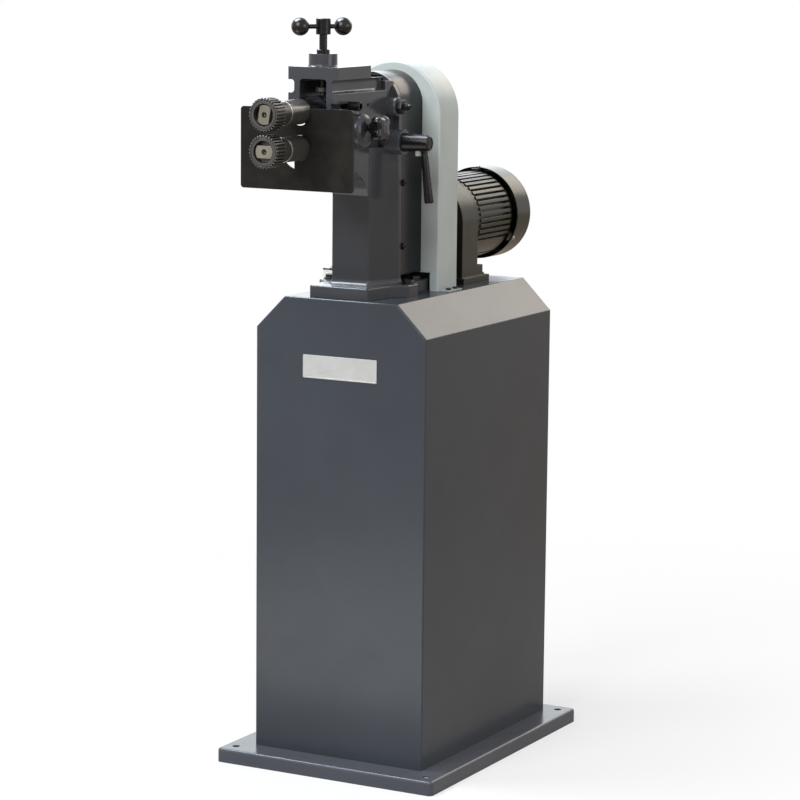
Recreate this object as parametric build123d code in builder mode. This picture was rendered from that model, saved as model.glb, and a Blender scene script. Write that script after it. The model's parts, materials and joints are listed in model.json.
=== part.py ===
from build123d import *
import math
import os

os.makedirs("parts", exist_ok=True)

# Fits and gaps, in millimetres
running_fit = 0.05
seat_fit = 0.1
bolt_fit = 0.2
face_gap = 0.3

# Base tray and cabinet
tray_width = 450
tray_depth = 600
tray_height = 26
tray_sheet = 3
tray_corner_radius = 8
tray_bend_radius = 5
anchor_spacing_x = 400
anchor_spacing_y = 544
anchor_hole_radius = 7
cabinet_width = 350
cabinet_depth = 505
cabinet_height = 844
cabinet_sheet = 2
cabinet_chamfer = 59
cabinet_bend_radius = 3
cabinet_center_y = 8
stiffener_width = 200
stiffener_depth = 440
stiffener_thickness = 8
rear_opening_width = 250
rear_opening_height = 520
rear_opening_bottom = 150
rear_panel_margin = 18
rear_panel_sheet = 1.5
plate_width = 152
plate_height = 42
plate_thickness = 1
plate_drop = 124

# Shafts and their gears
head_x = -10
lower_axis_height = 279
roll_gear_module = 3.5
roll_gear_teeth = 18
roll_gear_addendum = 2.6
roll_gear_dedendum = 5.0
roll_gear_backlash = 1.8
roll_gear_width = 22
roll_gear_gap = 7
large_gear_module = 3
large_gear_teeth = 56
large_gear_width = 28
large_gear_hub_radius = 25
large_gear_hub_length = 10
large_gear_gap = 18
full_dedendum = 1.25
pinion_teeth = 28
pinion_width = 30
drive_gear_backlash = 0.5
journal_radius = 15
seat_radius = 17
shaft_end_flats = 21.5
shaft_end_length = 9
shaft_center_radius = 3
shaft_center_depth = 6
shaft_tail = 4
upper_end_turn = 80
lower_end_turn = 0

# Rolls and sleeves
roll_front_y = -495
roll_radius = 29
roll_length = 30
roll_teeth = 30
roll_tooth_gap = 3.0
roll_tooth_depth = 2.6
roll_edge_chamfer = 1.5
roll_hub_radius = 21
roll_hub_length = 31
roll_recess_radius = 19.5
roll_recess_depth = 12
roll_groove_radius = 24
roll_groove_width = 1.2
roll_groove_depth = 0.8
roll_web = 5
sleeve_radius = 22
sleeve_wall = 5
sleeve_nose_rear_y = -370
sleeve_nose_round = 4
sleeve_neck_radius = 19.5
sleeve_body_radius = 25
sleeve_body_front_y = -324
bush_flange = 3
bush_flange_radius = 21.4
bush_length = 34

# Frame casting
case_joint_y = -113
frame_plate_thickness = 12
foot_thickness = 22
foot_front_y = -235
foot_front_half = 60
foot_waist_y = -165
foot_waist_half = 69
foot_ear_half = 93
foot_ear_front_y = -142
foot_ear_rear_y = -104
foot_ear_taper = 9
foot_rear_half = 75
foot_rear_y = -24
foot_corner_radius = 6
foot_edge_radius = 3
column_front_y = -192
column_front_half = 38
column_rear_half = 61
column_height = 248
column_corner_radius = 5
column_wall = 13
column_base_fillet = 10
column_core_inset = 4
column_draft = 10
arm_half = 37
boss_root = 5
arm_bottom_drop = 48
throat_radius = 70
throat_slit_depth = 36
throat_slit_height = 17
head_length = 215
head_half = 50
head_block_top = 30
head_block_rear_y = -152
neck_half = 38
neck_height = 23
neck_fillet = 6
cap_thickness = 22.5
cap_length = 118
window_half = 27
window_floor = 30
window_roof = -1
window_corner = 6
knuckle_rise = 46
knuckle_corner = 19
knuckle_half = 47
pivot_y = -138
pivot_boss_radius = 17
pivot_boss_half = 68
pivot_boss_round = 3
pivot_stud_radius = 6
pivot_stud_tip = 20
pivot_stud_end = 92
pivot_nut_flats = 24
pivot_nut_height = 11
trunnion_half = 26
trunnion_front_y = -160
trunnion_rear_y = -116
lever_boss_radius = 22.5
lever_boss_half = 80
fence_boss_y = -259
fence_boss_radius = 31
fence_boss_half = 72
fence_boss_round = 12
fence_boss_drop = 6
fence_rod_rise = 6
side_slot_length = 43
side_slot_height = 9
side_slot_rise = 7.5
side_slot_depth = 14
side_screw_radius = 8
side_screw_reach = 22
side_screw_socket = 0.6
oil_hole_radius = 3
oil_hole_y = -220
oil_hole_rise = 6
oil_hole_depth = 9
foot_bolt_radius = 6
foot_bolt_head_flats = 19
foot_bolt_head_height = 8
foot_bolt_ear_x = 81
foot_bolt_ear_y = -120
foot_bolt_rear_x = 62
foot_bolt_rear_y = -62

# Feed spindle and handle
spindle_y = -293
spindle_radius = 7
spindle_tip_radius = 4
spindle_boss_radius = 25.5
spindle_boss_height = 22.5
spindle_boss_fillet = 4
spindle_bush_radius = 10
spindle_bush_depth = 20
spindle_collar_radius = 11.5
spindle_collar_height = 7
spindle_neck_length = 26
handle_hub_radius = 13
handle_hub_height = 28
handle_hub_socket = 8
handle_bar_radius = 4
handle_bar_shift = -3
handle_turn = 57
ball_spacing = 84
ball_radius = 16
ball_socket = 12
pad_nose_radius = 5
pad_nose_height = 6
pad_radius = 13
pad_height = 8
spring_y = -250
spring_wire_radius = 0.9
spring_coil_radius = 5.4
spring_pitch = 3.2
spring_pocket_radius = 7.5
spring_pocket_depth = 7

# Clamp lever, fence and star knob
lever_hub_length = 52
lever_hub_radius = 17
lever_hub_end_radius = 14
lever_stud_radius = 6
lever_arm_x = 38
lever_arm_length = 108
lever_arm_lean = 7
lever_arm_radius = 5
lever_grip_radius = 8.5
lever_hub_round = 3
fence_width = 226
fence_height = 143
fence_bottom_drop = 74
fence_thickness = 5
fence_front_y = -376
fence_shift = -5
fence_corner = 6
fence_hole_radius = 23.5
fence_relief_radius = 38
fence_relief_edge = -8
fence_notch_radius = 24.2
fence_rod_radius = 7
fence_rod_x = 48
fence_rod_rear_y = -206
knob_stud_radius = 5
knob_neck_radius = 10
knob_neck_length = 10
knob_reach = 5
knob_core_radius = 18
knob_lobe_radius = 9
knob_lobe_circle = 17
knob_thickness = 20
knob_lobes = 4
knob_turn = 45
knob_round = 2

# Gear case and drive guard
case_half = 61
case_wall = 7
case_rear_wall = 8
case_rear_y = -36
case_bottom_height = 36
spigot_depth = 12
case_screw_radius = 3
case_screw_head_radius = 6
case_screw_head_height = 5
case_screw_socket = 3
case_screw_depth = 11
case_screw_low_height = 88
case_screw_spacing = 115
rear_bush_radius = 20
rear_bush_boss = 12
rear_bush_boss_radius = 28
guard_half = 97.5
guard_depth = 70
guard_sheet = 2
guard_arch_height = 321
guard_edge_radius = 4
guard_notch_half = 80
guard_notch_height = 34
guard_opening_radius = 40
guard_tab_width = 20
guard_tab_length = 50
guard_tab_overlap = 2
guard_tab_corner = 4
guard_lug_radius = 7
guard_lug_depth = 12
guard_back_sheet = 2
guard_back_hole = 20
guard_screw_radius = 2.5
guard_screw_head_radius = 5
guard_screw_head_height = 3.5
guard_screw_length = 10
guard_lug_heights = (60, 180, 300)

# Reducer and motor
motor_axis_height = 114
reducer_half = 80
reducer_front_y = 93
reducer_depth = 62
reducer_wall = 8
reducer_nose_radius = 36
reducer_nose_length = 44
reducer_foot_half = 88
reducer_foot_thickness = 11
reducer_foot_front_y = 85
reducer_foot_rear_y = 189
reducer_pedestal_height = 19
reducer_pedestal_rear_y = 177
reducer_bolt_x = 74
reducer_bolt_rear_y = 183
first_stage_module = 1.25
first_stage_pinion = 12
first_stage_gear = 45
second_stage_module = 1.5
second_stage_pinion = 12
second_stage_gear = 40
stub_addendum = 0.75
stub_dedendum = 1.15
stage_backlash = 0.3
stage_start_gap = 4
second_stage_width = 16
stage_spacing = 5
first_stage_width = 13
countershaft_radius = 6
countershaft_socket = 6
front_shield_thickness = 10
front_shield_radius = 80
motor_radius = 82
motor_core_radius = 72
motor_bore_radius = 62
motor_length = 127
motor_fins = 46
motor_fin_gap = 5
motor_pad_start = 38
motor_pad_end = 62
stator_length = 66
stator_bore_radius = 41
rotor_radius = 40
rotor_length = 56
rotor_shaft_radius = 10
rear_shield_radius = 75
rear_shield_length = 20
cover_gap = 14
cover_radius = 89
cover_length = 62
cover_sheet = 2
cover_edge_radius = 9
cover_lug_width = 14
cover_lug_inner_radius = 60
cover_lug_reach = 13
cover_screw_inset = 5
cover_screw_radius = 2
cover_screw_head_radius = 4
cover_screw_head_height = 2.5
cover_screw_length = 9
grille_slots = 24
grille_inner_radius = 26
grille_outer_radius = 58
grille_slot_width = 5
fan_radius = 76
fan_hub_radius = 17
fan_blades = 7
fan_blade_thickness = 3
fan_width = 24
fan_front_gap = 22
terminal_seat = 86
terminal_depth = 34
terminal_width = 64
terminal_height = 72
terminal_corner = 5
terminal_edge = 3
terminal_seat_inset = 2
gland_radius = 9
gland_length = 12

# Switch box
switch_x = -96
switch_width = 40
switch_depth = 54
switch_height = 33
switch_rear_y = -38
switch_wall = 2.5
switch_corner_radius = 4
button_radius = 8
panel_height = 3
button_spacing = 26
button_rise = 3
button_stem = 8
button_lip = 2
button_lip_radius = 10
button_edge_radius = 1

# Cut edges and small overlaps
edge_chamfer = 1
overlap = 1
pressure_angle = math.radians(20)

# Places that follow from the sizes
cabinet_top = tray_height + cabinet_height
cabinet_front_y = cabinet_center_y - cabinet_depth / 2
cabinet_rear_y = cabinet_center_y + cabinet_depth / 2
lower_z = cabinet_top + lower_axis_height
shaft_distance = roll_gear_module * roll_gear_teeth
upper_z = lower_z + shaft_distance
drive_distance = large_gear_module * (large_gear_teeth + pinion_teeth) / 2
output_z = lower_z - drive_distance
motor_z = cabinet_top + motor_axis_height
foot_top = cabinet_top + foot_thickness
head_front_y = case_joint_y - head_length
frame_plate_front_y = case_joint_y - frame_plate_thickness
spigot_rear_y = case_joint_y + spigot_depth
head_block_z = upper_z + head_block_top
neck_z = head_block_z + neck_height
cap_z = neck_z + cap_thickness
cap_rear_y = head_front_y + cap_length
slit_top_z = upper_z - sleeve_radius
slit_bottom_z = slit_top_z - throat_slit_height
window_floor_z = upper_z - window_floor
window_top_z = neck_z - window_roof
arm_bottom_z = lower_z - arm_bottom_drop
fence_boss_z = (lower_z + upper_z) / 2 - fence_boss_drop
fence_rod_z = fence_boss_z + fence_rod_rise
sleeve_bore = sleeve_radius - sleeve_wall
roll_rear_y = roll_front_y + roll_length
hub_rear_y = roll_rear_y + roll_hub_length
bush_front_y = hub_rear_y + face_gap
sleeve_front_y = bush_front_y + bush_flange
roll_gear_front_y = spigot_rear_y + roll_gear_gap
roll_gear_rear_y = roll_gear_front_y + roll_gear_width
guard_front_y = case_rear_y
guard_rear_y = guard_front_y + guard_depth
guard_arch_z = cabinet_top + guard_arch_height
large_gear_front_y = guard_front_y + large_gear_gap
pinion_front_y = large_gear_front_y - (pinion_width - large_gear_width) / 2
large_gear_rear_y = large_gear_front_y + large_gear_width
case_bottom_z = cabinet_top + case_bottom_height
spigot_half = case_half - case_wall - bolt_fit
side_slot_z = upper_z + side_slot_rise
spindle_boss_top = cap_z + spindle_boss_height
collar_top = spindle_boss_top + spindle_collar_height
hub_bottom = collar_top + spindle_neck_length
bar_z = hub_bottom + handle_hub_height / 2
pad_bottom = upper_z + sleeve_body_radius + face_gap
pad_seat = pad_bottom + pad_nose_height
pad_top = pad_seat + pad_height
lever_hub_start = lever_boss_half + face_gap
reducer_rear_y = reducer_front_y + reducer_depth
case_screw_y = case_joint_y + spigot_depth / 2
case_screw_heights = [cabinet_top + case_screw_low_height + step * case_screw_spacing for step in (0, 1)]
reducer_foot_top = cabinet_top + reducer_foot_thickness
motor_front_y = reducer_rear_y + front_shield_thickness
motor_rear_y = motor_front_y + motor_length
cover_front_y = motor_rear_y + cover_gap
cover_rear_y = cover_front_y + cover_length
first_stage_distance = first_stage_module * (first_stage_pinion + first_stage_gear) / 2
second_stage_distance = second_stage_module * (second_stage_pinion + second_stage_gear) / 2
stage_rise = output_z - motor_z
counter_rise = (first_stage_distance**2 - second_stage_distance**2 + stage_rise**2) / (2 * stage_rise)
counter_x = math.sqrt(first_stage_distance**2 - counter_rise**2)
counter_z = motor_z + counter_rise
second_stage_front_y = reducer_front_y + reducer_wall + stage_start_gap
second_stage_rear_y = second_stage_front_y + second_stage_width
first_stage_front_y = second_stage_rear_y + stage_spacing
first_stage_rear_y = first_stage_front_y + first_stage_width


def across(y):
    """Upright plane at depth y on the head's centre line; it draws X and Z and extrudes to the front."""
    return Plane(origin=(head_x, y, 0), x_dir=(1, 0, 0), z_dir=(0, -1, 0))


def above(z):
    """Level plane at height z on the head's centre line."""
    return Plane(origin=(head_x, 0, z), x_dir=(1, 0, 0), z_dir=(0, 0, 1))


def beside(x):
    """Upright plane at x from the head's centre line; it draws Y and Z and extrudes to the right."""
    return Plane(origin=(head_x + x, 0, 0), x_dir=(0, 1, 0), z_dir=(1, 0, 0))


def bar_back(x, z, radius, front_y, rear_y, mode=Mode.ADD):
    """Round bar along Y between two depths, x from the head's centre line."""
    with Locations(Plane(origin=(head_x + x, front_y, z), z_dir=(0, 1, 0))):
        Cylinder(radius, rear_y - front_y, align=(Align.CENTER, Align.CENTER, Align.MIN), mode=mode)


def bar_right(y, z, radius, start_x, end_x, mode=Mode.ADD):
    """Round bar along X between two distances from the head's centre line."""
    with Locations(Plane(origin=(head_x + start_x, y, z), z_dir=(1, 0, 0))):
        Cylinder(radius, end_x - start_x, align=(Align.CENTER, Align.CENTER, Align.MIN), mode=mode)


def bar_up(x, y, radius, bottom_z, top_z, mode=Mode.ADD):
    """Upright round bar between two heights, x from the head's centre line."""
    with Locations((head_x + x, y, bottom_z)):
        Cylinder(radius, top_z - bottom_z, align=(Align.CENTER, Align.CENTER, Align.MIN), mode=mode)


def arch(half_width, bottom_z, center_z):
    """Face with straight sides and a round top about center_z."""
    with BuildSketch() as outline:
        with Locations((0, center_z)):
            Circle(half_width)
        with Locations((0, bottom_z)):
            Rectangle(2 * half_width, center_z - bottom_z, align=(Align.CENTER, Align.MIN))
    return outline.sketch


def gear_face(module, teeth, addendum, dedendum, backlash, turn):
    """Spur gear face about the origin, with involute flanks and its first tooth at the angle turn."""
    pitch_radius = module * teeth / 2
    base_radius = pitch_radius * math.cos(pressure_angle)
    root_radius = pitch_radius - dedendum
    tip_radius = pitch_radius + addendum
    flank_start = max(base_radius, root_radius)
    pitch_half = (math.pi * module - backlash) / (4 * pitch_radius)
    pitch_involute = math.tan(pressure_angle) - pressure_angle
    flank = []
    for step in range(4):
        radius = flank_start + (tip_radius - flank_start) * step / 3
        slope = math.acos(base_radius / radius)
        flank.append((radius, pitch_half + pitch_involute - math.tan(slope) + slope))
    flank.insert(0, (root_radius - 0.01, flank[0][1]))
    points = []
    for tooth in range(teeth):
        middle = math.radians(turn) + 2 * math.pi * tooth / teeth
        for radius, half in flank:
            points.append((radius * math.cos(middle - half), radius * math.sin(middle - half)))
        for radius, half in reversed(flank):
            points.append((radius * math.cos(middle + half), radius * math.sin(middle + half)))
    with BuildSketch() as face:
        Polygon(*points, align=None)
    return face.sketch


# Base tray: sheet folded down all round, with four anchor holes
with BuildPart() as base_tray:
    with BuildSketch():
        RectangleRounded(tray_width, tray_depth, tray_corner_radius)
    extrude(amount=tray_height)
    fillet(base_tray.faces().sort_by(Axis.Z)[-1].edges(), tray_bend_radius)
    offset(amount=-tray_sheet, openings=base_tray.faces().sort_by(Axis.Z)[0])
    with BuildSketch(Plane.XY.offset(tray_height)):
        with GridLocations(anchor_spacing_x, anchor_spacing_y, 2, 2):
            Circle(anchor_hole_radius)
    extrude(amount=-tray_height / 2, mode=Mode.SUBTRACT)
base_tray.part.label = "base_tray"
export_step(base_tray.part, "parts/base_tray.step")

# Places of the screws that go down into the cabinet top, x from the head's centre line
foot_bolt_places = [
    (sign * x, y)
    for sign in (-1, 1)
    for x, y in ((foot_bolt_ear_x, foot_bolt_ear_y), (foot_bolt_rear_x, foot_bolt_rear_y))
]
reducer_bolt_places = [(sign * reducer_bolt_x, reducer_bolt_rear_y) for sign in (-1, 1)]
guard_tab_x = guard_half + guard_tab_width / 2
guard_tab_y = guard_front_y + guard_depth / 2
guard_tab_places = [
    (sign * guard_tab_x, guard_tab_y + step * guard_tab_length / 4) for sign in (-1, 1) for step in (-1, 1)
]

# Cabinet: folded sheet with chamfered top sides, open below and at the rear opening
with BuildPart() as cabinet_shell:
    with BuildSketch(Plane.XZ.offset(-cabinet_rear_y)) as cabinet_face:
        with Locations((0, tray_height)):
            Rectangle(cabinet_width, cabinet_height, align=(Align.CENTER, Align.MIN))
        chamfer(cabinet_face.vertices().group_by(Axis.Y)[-1], cabinet_chamfer)
    extrude(amount=cabinet_depth)
    fillet(
        cabinet_shell.edges().filter_by(lambda edge: edge.center().Z > tray_height + overlap),
        cabinet_bend_radius,
    )
    offset(amount=-cabinet_sheet, openings=cabinet_shell.faces().sort_by(Axis.Z)[0])
    with BuildSketch(Plane.XZ.offset(-cabinet_rear_y)):
        with Locations((0, rear_opening_bottom + rear_opening_height / 2)):
            Rectangle(rear_opening_width, rear_opening_height)
    extrude(amount=2 * cabinet_sheet, mode=Mode.SUBTRACT)
    for x, y in foot_bolt_places + reducer_bolt_places:
        bar_up(
            x,
            y,
            foot_bolt_radius + bolt_fit,
            cabinet_top - 2 * cabinet_sheet,
            cabinet_top + overlap,
            Mode.SUBTRACT,
        )
    panel_screw_x = rear_opening_width / 2 + rear_panel_margin / 2
    panel_screw_rise = rear_opening_height / 2
    panel_screw_middle = rear_opening_bottom + panel_screw_rise
    panel_screw_places = [
        (sign * panel_screw_x, panel_screw_middle + step * panel_screw_rise)
        for sign in (-1, 1)
        for step in (-1, 0, 1)
    ]
    with BuildSketch(Plane.XZ.offset(-cabinet_rear_y)):
        with Locations(*panel_screw_places):
            Circle(guard_screw_radius + bolt_fit)
    extrude(amount=2 * cabinet_sheet, mode=Mode.SUBTRACT)
cabinet_shell.part.label = "cabinet_shell"
export_step(cabinet_shell.part, "parts/cabinet_shell.step")

# Plate inside the cabinet top that takes the bolts of the head and the reducer
with BuildPart() as top_stiffener:
    with BuildSketch(Plane.XY.offset(cabinet_top - cabinet_sheet)):
        with Locations((0, cabinet_center_y)):
            RectangleRounded(stiffener_width, stiffener_depth, foot_corner_radius)
    extrude(amount=-stiffener_thickness)
    for x, y in foot_bolt_places + reducer_bolt_places:
        bar_up(
            x,
            y,
            foot_bolt_radius + bolt_fit,
            cabinet_top - 2 * stiffener_thickness,
            cabinet_top,
            Mode.SUBTRACT,
        )
top_stiffener.part.label = "top_stiffener"
export_step(top_stiffener.part, "parts/top_stiffener.step")

# Rear access panel on the cabinet
with BuildPart() as rear_panel:
    with BuildSketch(Plane.XZ.offset(-cabinet_rear_y)):
        with Locations((0, panel_screw_middle)):
            RectangleRounded(
                rear_opening_width + 2 * rear_panel_margin,
                rear_opening_height + 2 * rear_panel_margin,
                foot_corner_radius,
            )
        with Locations(*panel_screw_places):
            Circle(guard_screw_radius + bolt_fit, mode=Mode.SUBTRACT)
    extrude(amount=-rear_panel_sheet)
rear_panel.part.label = "rear_panel"
export_step(rear_panel.part, "parts/rear_panel.step")

panel_outer_y = cabinet_rear_y + rear_panel_sheet
with BuildPart() as rear_panel_screws:
    with BuildSketch(Plane.XZ.offset(-panel_outer_y)):
        with Locations(*panel_screw_places):
            Circle(guard_screw_head_radius)
    extrude(amount=-guard_screw_head_height)
    chamfer(rear_panel_screws.faces().sort_by(Axis.Y)[-6:].edges(), edge_chamfer)
    with BuildSketch(Plane.XZ.offset(-panel_outer_y)):
        with Locations(*panel_screw_places):
            Circle(guard_screw_radius)
    extrude(amount=guard_screw_length)
rear_panel_screws.part.label = "rear_panel_screws"
export_step(rear_panel_screws.part, "parts/rear_panel_screws.step")

# Blank plate on the cabinet front
with BuildPart() as name_plate:
    with BuildSketch(Plane.XZ.offset(-cabinet_front_y)):
        with Locations((0, cabinet_top - plate_drop)):
            RectangleRounded(plate_width, plate_height, plate_thickness)
    extrude(amount=plate_thickness)
name_plate.part.label = "name_plate"
export_step(name_plate.part, "parts/name_plate.step")

# Frame casting: foot, column, lower arm, head yoke and bosses
with BuildPart() as frame_casting:
    with BuildSketch(above(cabinet_top)) as foot_face:
        with BuildLine():
            Polyline(
                (0, foot_front_y),
                (foot_front_half, foot_front_y),
                (foot_waist_half, foot_waist_y),
                (foot_ear_half, foot_ear_front_y),
                (foot_ear_half, foot_ear_rear_y),
                (foot_rear_half, foot_ear_rear_y + foot_ear_taper),
                (foot_rear_half, foot_rear_y),
                (0, foot_rear_y),
            )
            mirror(about=Plane.YZ)
        make_face()
        fillet(foot_face.vertices(), foot_corner_radius)
    extrude(amount=foot_thickness)
    fillet(frame_casting.faces().sort_by(Axis.Z)[-1].edges(), foot_edge_radius)
    with BuildSketch(above(foot_top)) as column_face:
        with BuildLine():
            Polyline(
                (0, column_front_y),
                (column_front_half, column_front_y),
                (column_rear_half, frame_plate_front_y),
                (0, frame_plate_front_y),
            )
            mirror(about=Plane.YZ)
        make_face()
        fillet(column_face.vertices().group_by(Axis.Y)[0], column_corner_radius)
    extrude(amount=column_height)
    with BuildSketch(across(case_joint_y)):
        add(arch(case_half, foot_top, upper_z))
    extrude(amount=frame_plate_thickness)
    with BuildSketch(across(spigot_rear_y)):
        add(arch(spigot_half, case_bottom_z + case_wall + bolt_fit, upper_z))
    extrude(amount=spigot_depth)
    with BuildSketch(beside(-arm_half)) as arm_face:
        with BuildLine():
            Polyline(
                (frame_plate_front_y, foot_top),
                (column_front_y + column_draft, foot_top),
                (column_front_y, arm_bottom_z),
                (head_front_y, arm_bottom_z),
                (head_front_y, head_block_z),
                (frame_plate_front_y, head_block_z),
                close=True,
            )
        make_face()
        fillet(arm_face.vertices().sort_by_distance((column_front_y, arm_bottom_z))[0], throat_radius)
    extrude(amount=2 * arm_half)
    fillet(
        frame_casting.edges().filter_by(
            lambda edge: abs(edge.center().Z - foot_top) < 0.01
            and column_front_y - overlap < edge.center().Y < case_joint_y - overlap
            and abs(edge.center().X - head_x) < case_half + overlap
        ),
        column_base_fillet,
    )
    with BuildSketch(across(head_block_rear_y)) as head_face:
        with BuildLine():
            Polyline(
                (0, slit_top_z),
                (head_half, slit_top_z),
                (head_half, head_block_z),
                (neck_half, head_block_z),
                (neck_half, neck_z),
                (head_half, neck_z),
                (head_half, cap_z),
                (0, cap_z),
            )
            mirror(about=Plane.YZ)
        make_face()
        fillet(
            head_face.vertices().filter_by(lambda corner: abs(abs(corner.X) - neck_half) < 0.01),
            neck_fillet,
        )
    extrude(amount=head_block_rear_y - head_front_y)
    with BuildSketch(beside(-head_half)):
        with Locations((cap_rear_y, neck_z)):
            Rectangle(head_block_rear_y - cap_rear_y, cap_thickness, align=(Align.MIN, Align.MIN))
    extrude(amount=2 * head_half, mode=Mode.SUBTRACT)
    with BuildSketch(beside(-knuckle_half)) as knuckle_face:
        with Locations((case_joint_y, lower_z)):
            Rectangle(
                case_joint_y - head_block_rear_y,
                upper_z + knuckle_rise - lower_z,
                align=(Align.MAX, Align.MIN),
            )
        fillet(knuckle_face.vertices().sort_by(Axis.Y)[-2:].sort_by(Axis.X)[-1], knuckle_corner)
    extrude(amount=2 * knuckle_half)
    bar_right(pivot_y, upper_z, pivot_boss_radius, -pivot_boss_half, pivot_boss_half)
    bar_right(pivot_y, lower_z, lever_boss_radius, arm_half - boss_root, lever_boss_half)
    for x in (-pivot_boss_half, pivot_boss_half):
        fillet(
            frame_casting.edges()
            .filter_by(GeomType.CIRCLE)
            .sort_by_distance((head_x + x, pivot_y, upper_z))[0],
            pivot_boss_round,
        )
    bar_right(fence_boss_y, fence_boss_z, fence_boss_radius, arm_half - boss_root, fence_boss_half)
    fillet(
        frame_casting.edges()
        .filter_by(GeomType.CIRCLE)
        .sort_by_distance((head_x + fence_boss_half, fence_boss_y, fence_boss_z))[0],
        fence_boss_round,
    )
    bar_up(0, spindle_y, spindle_boss_radius, cap_z, spindle_boss_top)
    fillet(
        frame_casting.edges()
        .filter_by(GeomType.CIRCLE)
        .sort_by_distance((head_x, spindle_y, cap_z))[0],
        spindle_boss_fillet,
    )
    with BuildSketch(across(spigot_rear_y)):
        with Locations((0, window_floor_z)):
            RectangleRounded(
                2 * window_half,
                window_top_z - window_floor_z,
                window_corner,
                align=(Align.CENTER, Align.MIN),
            )
    extrude(amount=spigot_rear_y - head_front_y, mode=Mode.SUBTRACT)
    with BuildSketch(beside(-head_half - overlap)):
        with Locations((head_front_y, slit_bottom_z)):
            Rectangle(throat_slit_depth, throat_slit_height, align=(Align.MIN, Align.MIN))
    extrude(amount=2 * (head_half + overlap), mode=Mode.SUBTRACT)
    bar_back(0, lower_z, sleeve_radius + running_fit, head_front_y, spigot_rear_y, Mode.SUBTRACT)
    bar_up(0, spindle_y, spindle_bush_radius + bolt_fit, cap_z, spindle_boss_top, Mode.SUBTRACT)
    bar_up(0, spindle_y, spindle_radius + bolt_fit, window_top_z - overlap, cap_z, Mode.SUBTRACT)
    bar_up(
        0, spring_y, spring_pocket_radius, window_floor_z - spring_pocket_depth, window_floor_z, Mode.SUBTRACT
    )
    for start, end in ((window_half - overlap, pivot_boss_half), (-pivot_boss_half, overlap - window_half)):
        bar_right(pivot_y, upper_z, pivot_stud_radius + bolt_fit, start, end, Mode.SUBTRACT)
    bar_right(
        pivot_y,
        lower_z,
        lever_stud_radius + running_fit,
        sleeve_radius - overlap,
        lever_boss_half,
        Mode.SUBTRACT,
    )
    bar_back(
        fence_rod_x,
        fence_rod_z,
        fence_rod_radius + running_fit,
        fence_boss_y - fence_boss_radius,
        fence_boss_y + fence_boss_radius,
        Mode.SUBTRACT,
    )
    bar_right(
        fence_boss_y, fence_rod_z, knob_stud_radius + running_fit, fence_rod_x, fence_boss_half, Mode.SUBTRACT
    )
    with BuildSketch(beside(head_half)):
        with Locations((head_front_y, side_slot_z)):
            Rectangle(side_slot_length, side_slot_height, align=(Align.MIN, Align.CENTER))
    extrude(amount=-side_slot_depth, mode=Mode.SUBTRACT)
    bar_right(
        head_front_y + side_slot_length,
        side_slot_z,
        side_screw_radius + bolt_fit,
        head_half - side_slot_depth,
        head_half,
        Mode.SUBTRACT,
    )
    bar_right(
        oil_hole_y,
        upper_z + oil_hole_rise,
        oil_hole_radius,
        head_half - oil_hole_depth,
        head_half,
        Mode.SUBTRACT,
    )
    for x, y in foot_bolt_places:
        bar_up(x, y, foot_bolt_radius + bolt_fit, cabinet_top, foot_top, Mode.SUBTRACT)
    screw_hole_start = spigot_half - case_screw_depth - overlap
    for z in case_screw_heights:
        for start, end in ((screw_hole_start, spigot_half), (-spigot_half, -screw_hole_start)):
            bar_right(case_screw_y, z, case_screw_radius + bolt_fit, start, end, Mode.SUBTRACT)
    with BuildSketch(above(cabinet_top)):
        with BuildLine():
            Polyline(
                (0, column_front_y + column_wall),
                (column_front_half - column_wall, column_front_y + column_wall),
                (column_rear_half - column_wall - column_core_inset, frame_plate_front_y - column_wall),
                (0, frame_plate_front_y - column_wall),
            )
            mirror(about=Plane.YZ)
        make_face()
    extrude(amount=arm_bottom_z - column_wall - cabinet_top, mode=Mode.SUBTRACT)
frame_casting.part.label = "frame_casting"
export_step(frame_casting.part, "parts/frame_casting.step")

# Bolts that hold the foot of the casting down
with BuildPart() as foot_bolts:
    for x, y in foot_bolt_places:
        bar_up(x, y, foot_bolt_radius, cabinet_top - cabinet_sheet - stiffener_thickness, foot_top)
    with BuildSketch(above(foot_top)):
        with Locations(*foot_bolt_places):
            RegularPolygon(foot_bolt_head_flats / math.sqrt(3), 6)
    extrude(amount=foot_bolt_head_height)
foot_bolts.part.label = "foot_bolts"
export_step(foot_bolts.part, "parts/foot_bolts.step")

# Gear case behind the column, open at the front
with BuildPart() as gear_case:
    with BuildSketch(across(case_rear_y)):
        add(arch(case_half, case_bottom_z, upper_z))
    extrude(amount=case_rear_y - case_joint_y)
    with BuildSketch(across(case_rear_y - case_rear_wall)):
        add(arch(case_half - case_wall, case_bottom_z + case_wall, upper_z))
    extrude(amount=case_rear_y - case_rear_wall - case_joint_y, mode=Mode.SUBTRACT)
    bar_back(
        0,
        lower_z,
        rear_bush_boss_radius,
        case_rear_y - case_rear_wall - rear_bush_boss,
        case_rear_y - case_rear_wall,
    )
    bar_back(
        0,
        lower_z,
        rear_bush_radius + bolt_fit,
        case_rear_y - case_rear_wall - rear_bush_boss,
        case_rear_y,
        Mode.SUBTRACT,
    )
    for z in case_screw_heights:
        bar_right(case_screw_y, z, case_screw_radius + bolt_fit, -case_half, case_half, Mode.SUBTRACT)
gear_case.part.label = "gear_case"
export_step(gear_case.part, "parts/gear_case.step")

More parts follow.
